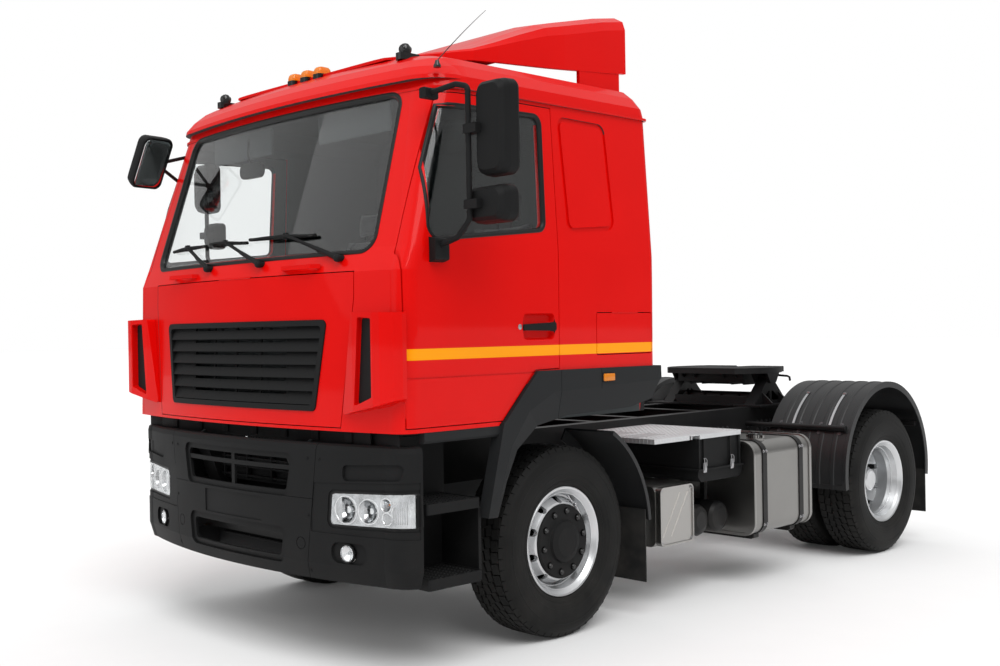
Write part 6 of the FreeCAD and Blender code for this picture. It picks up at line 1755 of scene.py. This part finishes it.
@dataclass
class Headlamp:
    """Bowls, bulbs, the amber indicator and the fog lamp of one side."""

    bowls: Sequence[Co] = ((0.858, 0.826, 0.066, 0.062), (0.992, 0.826, 0.058, 0.066), (1.094, 0.864, 0.03, 0.04),
                           (1.099, 0.798, 0.027, 0.04), (1.168, 0.83, 0.044, 0.045))
    fog: Point = (0.867, 0.611, 0.048)
    lens: Outline = ((0.76, 0.75), (1.24, 0.76), (1.24, 0.918), (0.774, 0.903))
    main_bowls: int = 2

    @staticmethod
    def plane_way(edge: Sequence[Vector]) -> Vector:
        """The way into a bowl, square to the plane of its edge.

        Args:
            edge: Points round the bowl's mouth.

        Returns:
            The way in, of length 1.
        """
        middle = mean(edge)
        total = sum(((a - middle).cross(b - middle) for a, b in zip(edge, edge[1:] + edge[:1])), Vector())
        return total.normalized() * copysign(1.0, total.y)

    def build(self) -> None:
        """Builds both sides."""
        face = Skin("lamp_housings")
        for side, name in SIDES:
            chrome, glow = Shape(), Shape()
            for i, (x, z, radius, deep) in enumerate(self.bowls):
                mouth = bumper_arc(x) + 0.0053 + max(0.0, x - 1.085) * 0.42
                edge = [face.front(side * (x + (radius + 0.006) * cos(a)), z + (radius + 0.006) * sin(a))[0]
                        for a in circle(12)]
                edge = [spot for spot in edge if spot is not None and abs(spot.y - mouth) < 0.05]
                self.bowl(chrome, glow, edge, radius, deep, i < self.main_bowls)
            for x in (side * (1.127 + 0.0085 * k) for k in range(9)):
                spot, _ = face.front(x, 0.83)
                if spot is not None:
                    chrome.block((x - 0.0016, spot.y - 0.0014, 0.776), (x + 0.0016, spot.y + 0.002, 0.886), 0.0006)
            self.surround(side, name)
            chrome.piece("headlamp_reflectors_" + name, "chassis", "aluminium", "chrome")
            glow.piece("indicator_bulbs_" + name, "chassis", "lamp", "amber")
            self.fog_lamp(side, name)

    def bowl(self, chrome: Shape, glow: Shape, edge: Sequence[Vector], radius: float, deep: float,
             shaded: bool) -> None:
        """The rim of one bowl and what stands in it.

        Args:
            chrome: The shape of the bright parts.
            glow: The shape of the bulbs.
            edge: Points round the bowl's mouth.
            radius: The mouth's radius.
            deep: The bowl's depth.
            shaded: Whether a shield stands before its bulb.
        """
        way, centre, bulb = self.plane_way(edge), mean(edge), radius * 0.19
        floor = centre + way * (deep * 0.86)
        chrome.lathe([(radius + 0.0005, 0.003), (radius + 0.0045, 0.0015), (radius + 0.005, -0.001),
                      (radius + 0.001, -0.0012), (radius - 0.0012, 0.001), (radius - 0.0012, 0.004)],
                     centre, way, 40, True)
        chrome.lathe([(0.0, 0.006), (bulb * 1.5, 0.006), (bulb * 1.5, -0.004), (bulb, -0.006), (0.0, -0.006)],
                     floor, way, 20)
        if shaded:
            shield = radius * 0.3
            chrome.lathe([(0.0, -0.034), (shield * 0.8, -0.033), (shield, -0.028), (shield, -0.018),
                          (shield - 0.0015, -0.018), (shield - 0.0015, -0.028), (0.0, -0.0305)], floor, way, 28)
        else:
            glow.lathe([(bulb, 0.0), (bulb, bulb * -0.8), (bulb * 0.8, bulb * -1.3), (0.0, bulb * -1.6)],
                       floor, way, 16)

    def surround(self, side: float, name: str) -> None:
        """The dark gasket round the headlamp's lens.

        Args:
            side: 1 for the left side, -1 for the right.
            name: The side's name.
        """
        skin = Skin("bumper_corners", "front_bumper")
        outline = spaced(rounded_outline(self.lens, 0.024, 0.006, 5), 0.04)
        met = [pair for pair in (skin.front(side * x, z) for x, z in outline) if pair[0] is not None]
        path, normals = zip(*met)
        ring = Shape()
        ring.sweep(path, [(-0.0045, -0.003), (-0.0045, 0.0012), (0.0045, 0.0012), (0.0045, -0.003)], normals, True)
        ring.piece("headlamp_gasket_" + name, "chassis", "rubber", "seal")

    def fog_lamp(self, side: float, name: str) -> None:
        """The round fog lamp: chromed bowl edge, lens ring and black bezel.

        Args:
            side: 1 for the left side, -1 for the right.
            name: The side's name.
        """
        x, z, r = self.fog
        centre, way = Vector((side * x, bumper_arc(x) - 0.0002, z)), Vector((side * -0.21, 0.977, 0.0))
        bezel, bowl, bulb = Shape(), Shape(), Shape()
        bezel.lathe([(r + 0.001, 0.012), (r + 0.001, 0.0005), (r - 0.002, -0.001), (r - 0.009, 0.003),
                     (r - 0.01, 0.012)], centre, way, 40, True)
        inner = r - 0.0095
        curve = [(inner * sin(a), 0.004 + 0.022 * cos(a)) for a in map(radians, (0, 15, 30, 45, 60, 75, 90))]
        bowl.lathe([*curve, (inner, 0.001), (inner + 0.0012, 0.001), (inner + 0.0012, 0.006), (0.0, 0.0285)],
                   centre, way, 36)
        bulb.lathe([(0.0, 0.008), (0.006, 0.009), (0.0075, 0.012), (0.0075, 0.027), (0.0, 0.027)], centre, way, 20)
        bezel.piece("fog_lamp_bezel_" + name, "chassis", "plastic_dark", "charcoal")
        bowl.piece("fog_lamp_bowl_" + name, "chassis", "aluminium", "chrome")
        bulb.piece("fog_lamp_bulb_" + name, "chassis", "lamp", "white_lens")


@dataclass
class GrilleUprights:
    """The dark uprights in the gaps between the louvres, in the painted-shade black."""

    half: float = 0.6
    uprights: int = 9
    gaps: int = 6

    def build(self) -> None:
        """Builds the uprights."""
        skin = Skin("grille")
        shape = Shape()
        for x in (-self.half + 2 * self.half * i / (self.uprights - 1) for i in range(self.uprights)):
            for z in (1.352 + k * 0.0705 for k in range(self.gaps)):
                spot, _ = skin.front(x, z)
                if spot is not None:
                    shape.block((x - 0.0025, spot.y + 0.01, z - 0.02), (x + 0.0025, spot.y + 0.03, z + 0.03), 0.001)
        shape.piece("grille_uprights", "flap", "plastic_dark", "painted_shade")


@dataclass
class DeflectorSlots:
    """The dark panels in the corner deflectors' slots."""

    corners: Outline = ((0.985, 1.345), (1.128, 1.392), (1.128, 1.772), (1.022, 1.778))

    def build(self) -> None:
        """Builds the panel in each slot."""
        skin = Skin("corner_deflectors", "cab_body", "front_flap")
        for side, name in SIDES:
            shape = Shape()
            outline = rounded_outline(self.corners, 0.018, -0.004, 4)
            spots = [(side * x, skin.front(side * x, z)[0], z) for x, z in outline]
            shape.join([[(x, (spot.y if spot is not None else station(-1.2)) + sink, z) for x, spot, z in spots]
                        for sink in (-0.0015, 0.0105)])
            shape.piece("deflector_panel_" + name, "cab", "plastic_dark", "charcoal")


@dataclass
class WiperBlades:
    """Blades, springs, arm covers and nut caps on the three wipers."""

    # pivot's x, arm's x at arm_z, then x and z of both ends of the blade
    wipers: Sequence[Co] = ((-0.281, -0.649, -0.842, 2.208, -0.412, 2.216), (0.221, -0.205, -0.38, 2.225, 0.019, 2.205),
                            (0.823, 0.36, 0.039, 2.22, 0.591, 2.208))
    pivot_z: float = 2.075
    arm_z: float = 2.226
    out: Point = (0.0, -0.96, 0.28)

    def build(self) -> None:
        """Builds the pieces of all three wipers."""
        skin, out = Skin("wipers"), Vector(self.out)
        rubber, arms = Shape(), Shape()
        for pivot_x, arm_x, x0, z0, x1, z1 in self.wipers:
            rise = (z1 - z0) * 0.03
            first, last, cap, end = (skin.front(x, z)[0] for x, z in (
                (x0 + 0.012, z0 + rise), (x1 - 0.012, z1 - rise), (pivot_x, self.pivot_z), (arm_x, self.arm_z)))
            line = [first.lerp(last, k / 12) + Vector((0.0, 0.0045, 0.0)) for k in range(13)]
            rubber.sweep(line, [(-0.009, -0.004), (0.009, -0.004), (0.0065, 0.007), (-0.0065, 0.007)], [out] * 13)
            bow = [first.lerp(last, 0.08 + 0.84 * k / 16) + out * (0.004 + 0.015 * sin(pi * k / 16))
                   for k in range(17)]
            arms.sweep(bow, [(-0.0055, -0.002), (0.0055, -0.002), (0.0055, 0.003), (-0.0055, 0.003)], [out] * 17)
            start = cap + Vector((0.0, 0.01, 0.0))
            run = [start.lerp(end, k / 8) + out * 0.004 for k in range(9)]
            arms.tube(run[:5], 0.0155, 12, 0.72)
            arms.tube(run[4:], 0.0085, 10, 0.8)
            arms.lathe([(0.0, -0.016), (0.01, -0.0155), (0.016, -0.011), (0.019, -0.003), (0.019, 0.014), (0.0, 0.014)],
                       cap + Vector((0.0, -0.001, 0.0)), (0.0, 1.0, 0.0), 24)
        rubber.piece("wiper_blades", "cab", "plastic_dark", "seal")
        arms.piece("wiper_arm_covers", "cab", "plastic_dark", "charcoal")


# ------------------------------------------------------------------ roof, mirrors and small cab parts
@dataclass
class RoofParts:
    """Marker lamps, horn covers and the whip aerial."""

    markers: Co = (-0.12, 0.0, 0.12)
    corner: float = 0.837
    domes: Outline = ((1.0, 0.014), (0.98, 0.03), (0.9, 0.044), (0.72, 0.054), (0.4, 0.058))
    foot: Point = (1.175, station(-0.952), 3.018)
    tip: Point = (-0.02, 0.375, 0.345)

    def build(self) -> None:
        """Builds the lamps on the roof."""
        skin = Skin("cab_roof", "cab_body")
        bases, lenses = Shape(), Shape()
        dome = rounded_box(-0.031, -0.049, 0.031, 0.049, 0.018, 0.0, 5)
        for x in self.markers:
            spot, _ = skin.top(x, station(-0.84))
            y, z = spot.yz
            bases.prism(rounded_box(x - 0.034, y - 0.052, x + 0.034, y + 0.052, 0.02), "Z", z - 0.016, z + 0.014)
            lenses.join([[(x + u * grow, y + v * grow, z + up) for u, v in dome] for grow, up in self.domes])
        for x in (self.corner, -self.corner):
            spot, _ = skin.top(x, station(-0.838))
            y, z = spot.yz
            bases.prism(rounded_box(x - 0.03, y - 0.07, x + 0.03, y + 0.07, 0.022), "Z", z - 0.02, z + 0.016)
            bases.lathe([(0.0, 0.0), (0.03, 0.0), (0.032, 0.02), (0.028, 0.04), (0.018, 0.054), (0.0, 0.06)],
                        (x, y - 0.018, z + 0.012), (0, 0, 1), 20)
            bases.lathe([(0.0, 0.0), (0.021, 0.0), (0.024, 0.03), (0.024, 0.052), (0.02, 0.056), (0.0, 0.056)],
                        (x, y + 0.01, z + 0.038), (0, -1, 0), 20)
        bases.piece("roof_lamp_bases", "cab", "plastic_dark", "black_gloss")
        lenses.piece("roof_marker_lenses", "cab", "lamp", "amber")
        self.aerial()

    def aerial(self) -> None:
        """The whip aerial at the roof's left front corner."""
        foot = Vector(self.foot)
        shape = Shape()
        shape.lathe([(0.0, -0.006), (0.019, -0.006), (0.019, 0.004), (0.013, 0.016), (0.009, 0.03), (0.0, 0.03)],
                    foot, (0, 0, 1), 20)
        shape.tube([foot + Vector(self.tip) * k + Vector((0.0, 0.0, 0.028 - 0.028 * k * k))
                    for k in (step / 10 for step in range(11))], 0.0028, 8, 0.45)
        shape.piece("whip_aerial", "cab", "plastic_dark", "black_gloss")


@dataclass
class MirrorGlasses:
    """Silvered glasses of all five mirrors."""

    # each side's station, and the x and z range of its glasses
    heads: Sequence[tuple[float, Sequence[Co]]] = (
        (-0.9095, ((1.48, 1.676, 2.432, 2.884), (1.418, 1.668, 2.212, 2.39))),
        (-0.4697, ((1.496, 1.676, 2.545, 2.884), (1.44, 1.56, 2.29, 2.47))))
    kerb_size: tuple[float, float] = (0.096, 0.149)
    kerb_dome: Outline = ((1.0, -0.002), (1.0, 0.002), (0.97, 0.004), (0.75, 0.0075), (0.4, 0.0095), (0.05, 0.01))

    def build(self) -> None:
        """Builds each glass in its recess."""
        for (side, name), (y, heads) in zip(SIDES, self.heads):
            shape = Shape()
            for x0, x1, z0, z1 in heads:
                radius = min(0.055, (x1 - x0) / 2 - 0.032)
                outline = [(side * x, z) for x, z in rounded_box(x0, z0, x1, z1, radius + 0.012, -0.0125, 6)]
                shape.prism(outline, "Y", station(y) - 0.0005, station(y) + 0.0035)
            shape.piece("mirror_glass_" + name, "door_" + name, "glass", "mirror")
        self.kerb()

    def kerb(self) -> None:
        """The kerb mirror's curved glass."""
        centre = Vector((-0.95003, station(-1.31911), 2.75122))
        across, up = Vector((0.13917, -0.99027, 0.0)), Vector((0.4649, 0.06534, 0.88295))
        normal = Vector((0.87435, 0.12288, -0.46947))
        x, y = self.kerb_size
        glass = Shape()
        outline = rounded_box(-x, -y, x, y, 0.042, 0.0, 6)
        glass.join([[centre + across * u * grow + up * v * grow + normal * lift for u, v in outline]
                    for grow, lift in self.kerb_dome])
        glass.piece("kerb_mirror_glass", "cab", "glass", "mirror")


@dataclass
class SideTrim:
    """Amber flare lamps and door locks."""

    lamp: tuple[float, float] = (0.258, 1.431)
    lock: tuple[float, float] = (-0.455, 1.719)

    def build(self) -> None:
        """Builds the small parts on both sides of the cab."""
        flare = Skin("arch_flares")
        for side, name in SIDES:
            y, z = station(self.lamp[0]), self.lamp[1]
            x = flare.side(y, z, side > 0)[0].x
            lens, base, lock = Shape(), Shape(), Shape()
            base.block((x - 0.004, y - 0.056, z - 0.027), (x + 0.004, y + 0.056, z + 0.027), 0.0035)
            x += side * 0.0005
            lens.block((x - 0.0105, y - 0.049, z - 0.021), (x + 0.0105, y + 0.049, z + 0.021), 0.007, 3)
            base.piece("flare_lamp_base_" + name, "cab", "plastic_dark", "charcoal")
            lens.piece("flare_lamp_lens_" + name, "cab", "lamp", "amber")
            spot, _ = Skin("door_" + name).side(station(self.lock[0]), self.lock[1], side > 0)
            lock.lathe([(0.0, 0.0), (0.0145, 0.0), (0.0145, 0.0022), (0.0125, 0.0035), (0.0, 0.0035)],
                       spot, (side, 0, 0), 24)
            slit = spot + Vector((side * 0.0036, 0.0, 0.0))
            half = Vector((0.0008, 0.0055, 0.0012))
            lock.block(slit - half, slit + half)
            lock.piece("door_lock_" + name, "door_" + name, "plastic_dark", "dull_metal")


# ------------------------------------------------------------------ construction nodes that stay visible
NODE_FINISH: dict[str, str] = {
    "tyre": "tyre", "rim": "silver", "frame": "frame_black", "cast": "cast_black", "cab_paint": "cab_paint",
    "glass": "glass", "plastic_dark": "charcoal", "plastic_grey": "dark_grey", "lamp": "lens",
    "aluminium": "brushed", "tread_plate": "tread_plate", "rubber": "rubber", "trim": "trim", "seat": "cloth",
    "engine": "engine", "tail_lamp": "red_lens"}


@dataclass
class NodeDress:
    """Gives the construction nodes their finishes, some of them face by face."""

    cover_radius: float = 0.2065
    cover_face: float = 1.1181
    grip: Co = (-0.437, -0.168, 1.69, 1.748)

    def build(self) -> None:
        """Dresses every construction node."""
        for row in frame["record"]["subparts"]:
            mesh = frame["nodes"][row["node"]].data
            mesh.materials.clear()
            mesh.materials.append(Finishes.get(NODE_FINISH[row["material_slot"]]))
        for _, side in SIDES:
            self.second("front_wheel_" + side, "charcoal", self.in_cover)
            self.second("door_" + side, "charcoal", self.in_grip)
        for node in ("cab_body", "cab_roof", "door_left", "door_right"):
            self.second(node, "trim", self.in_cab)
        self.second("lamp_housings", "lamp_metal", lambda centre, normal: True)
        self.second("cab_body", "dark_grey", self.in_corner)
        self.second("fuel_tanks", "tank_metal", lambda centre, normal: True)
        self.second("silencer", "tank_metal", lambda centre, normal: abs(centre.x) < 1.139)
        for node in ("rear_fenders", "front_mudguards"):
            self.second(node, "fender", lambda centre, normal: True)

    @staticmethod
    def second(node: str, finish: str, chosen: Callable[[Vector, Vector], bool]) -> None:
        """Gives some faces of a node another finish.

        Args:
            node: The node's name.
            finish: The other finish.
            chosen: Says of a face's centre and normal whether it takes that finish.
        """
        mesh = frame["nodes"][node].data
        mesh.materials.append(Finishes.get(finish))
        last = len(mesh.materials) - 1
        picks = [last if chosen(face.center, face.normal) else face.material_index for face in mesh.polygons]
        mesh.polygons.foreach_set("material_index", picks)
        mesh.update()

    def in_cover(self, centre: Vector, normal: Vector) -> bool:
        """Whether a point of a steered wheel lies on its dark centre cover."""
        out = hypot(centre.y - AXLE_Y, centre.z - AXLE_Z)
        return out < self.cover_radius and abs(centre.x) > self.cover_face

    def in_grip(self, centre: Vector, normal: Vector) -> bool:
        """Whether a point of a door lies on its handle's grip."""
        y0, y1, z0, z1 = self.grip
        return abs(centre.x) > 1.2395 and y0 < centre.y - AXLE_Y < y1 and z0 < centre.z < z1

    @staticmethod
    def in_cab(centre: Vector, normal: Vector) -> bool:
        """Whether a point of the cab's shell faces its inside.

        Args:
            centre: The face's centre.
            normal: The face's normal.
        """
        x, y, z = centre
        y -= AXLE_Y
        if not (abs(x) < 1.222 and -1.32 < y < 0.7 and 1.24 < z < 3.14):
            return False
        towards = Vector((-x if abs(x) > 0.6 else 0.0, 0.0 if -0.9 < y < 0.5 else -0.3 - y,
                          0.0 if 1.5 < z < 2.8 else 2.1 - z))
        return normal.dot(towards) > 0.0 and not (abs(normal.x) < 0.3 and abs(x) > 1.215)

    @staticmethod
    def in_corner(centre: Vector, normal: Vector) -> bool:
        """Whether a point lies on the cab's lower rear corners, which are dark."""
        return abs(centre.x) > 1.05 and centre.y - AXLE_Y > 0.45 and centre.z < 1.345


# ------------------------------------------------------------------ studio
@dataclass
class Studio:
    """Floor, backdrop, lamps and the camera."""

    place: Point = (5.395, -5.036 + AXLE_Y, 1.706)
    azimuth: float = 47.95
    pitch: float = -0.08
    roll: float = -0.94
    lens: float = 42.58
    shift: float = 0.1
    horizon: float = 0.24
    zenith: float = 1.1
    floor_half: float = 120.0

    def build(self) -> None:
        """Builds everything that isn't part of the truck."""
        self.floor()
        self.world()
        self.lamps()
        self.camera()
        bpy.context.scene.view_settings.view_transform = "Standard"

    def camera(self) -> None:
        """Places the camera and makes it the scene's."""
        az, pitch, roll = (radians(a) for a in (self.azimuth, self.pitch, self.roll))
        ahead = Vector((-sin(az) * cos(pitch), cos(az) * cos(pitch), sin(pitch)))
        right = Vector((cos(az), sin(az), 0.0))
        up = right.cross(ahead)
        across = right * cos(roll) + up * sin(roll)
        above = up * cos(roll) - right * sin(roll)
        turn = Matrix((across, above, -ahead)).transposed().to_4x4()
        data = bpy.data.cameras.new("camera")
        data.lens = self.lens
        data.shift_x = self.shift
        data.clip_end = 500.0
        camera = linked("camera", data)
        camera.matrix_world = Matrix.Translation(self.place) @ turn
        bpy.context.scene.camera = camera

    def floor(self) -> None:
        """Lays a wide pale floor that keeps the truck's shadow."""
        mesh = bpy.data.meshes.new("floor")
        s = self.floor_half
        mesh.from_pydata([(-s, -s, 0), (s, -s, 0), (s, s, 0), (-s, s, 0)], [], [(0, 1, 2, 3)])
        floor = linked("floor", mesh)
        material, t = new_material("studio_floor")
        tone = t.mix(t.noise(t.spot(), 3.0), (0.83, 0.83, 0.83), (0.85, 0.85, 0.85))
        matt = t.out("ShaderNodeBsdfDiffuse", {"Color": tone})
        glow = t.out("ShaderNodeEmission", {"Color": (1.0, 1.0, 1.0, 1.0), "Strength": 0.02})
        both = t.out("ShaderNodeAddShader", {0: matt, 1: glow})
        seen = t.out("ShaderNodeLightPath", key="Is Camera Ray")
        t.add("ShaderNodeOutputMaterial", {"Surface": t.out("ShaderNodeMixShader", {0: seen, 1: matt, 2: both})})
        mesh.materials.append(material)

    def world(self) -> None:
        """Surrounds the truck with a soft pale light that is white where it is seen."""
        world = bpy.data.worlds.new("studio")
        bpy.context.scene.world = world
        world.use_nodes = True
        t = Tree(world.node_tree)
        path = t.add("ShaderNodeLightPath")
        seen = t.math("MAXIMUM", path.outputs["Is Camera Ray"], path.outputs["Is Transmission Ray"])
        height = t.split(t.out("ShaderNodeTexCoord", key="Generated"))[2]
        sky = t.ramp(height, 0.0, 1.0, self.horizon, self.zenith)
        strength = t.math("MAXIMUM", sky, seen)
        back = t.out("ShaderNodeBackground", {"Color": (1.0, 1.0, 1.0, 1.0), "Strength": strength})
        t.add("ShaderNodeOutputWorld", {"Surface": back})

    def lamps(self) -> None:
        """Hangs one wide key light and a weaker fill."""
        for name, strength, size, turn in (("key", 1.6, 40.0, (38.0, 0.0, 60.0)),
                                           ("fill", 0.5, 60.0, (60.0, 0.0, -20.0))):
            lamp = bpy.data.lights.new(name, "SUN")
            lamp.energy = strength
            lamp.angle = radians(size)
            linked(name, lamp).rotation_euler = tuple(radians(a) for a in turn)


def main() -> None:
    """Builds the studio and every piece of the truck."""
    logging.basicConfig(level=logging.INFO, format="%(message)s")
    Studio().build()
    NodeDress().build()
    fastenings = Fastenings()
    Wheels().build(fastenings)
    GlassSeals().build()
    FrontBay().build()
    Headlamp().build()
    GrilleUprights().build()
    DeflectorSlots().build()
    WiperBlades().build()
    RoofParts().build()
    MirrorGlasses().build()
    SideTrim().build()
    Treads().build()
    SideBoxes().build(fastenings)
    FrameBolts().build(fastenings)
    RearLamps().build()
    CabFittings().build()
    Seating().build()


if __name__ == "__main__":
    main()
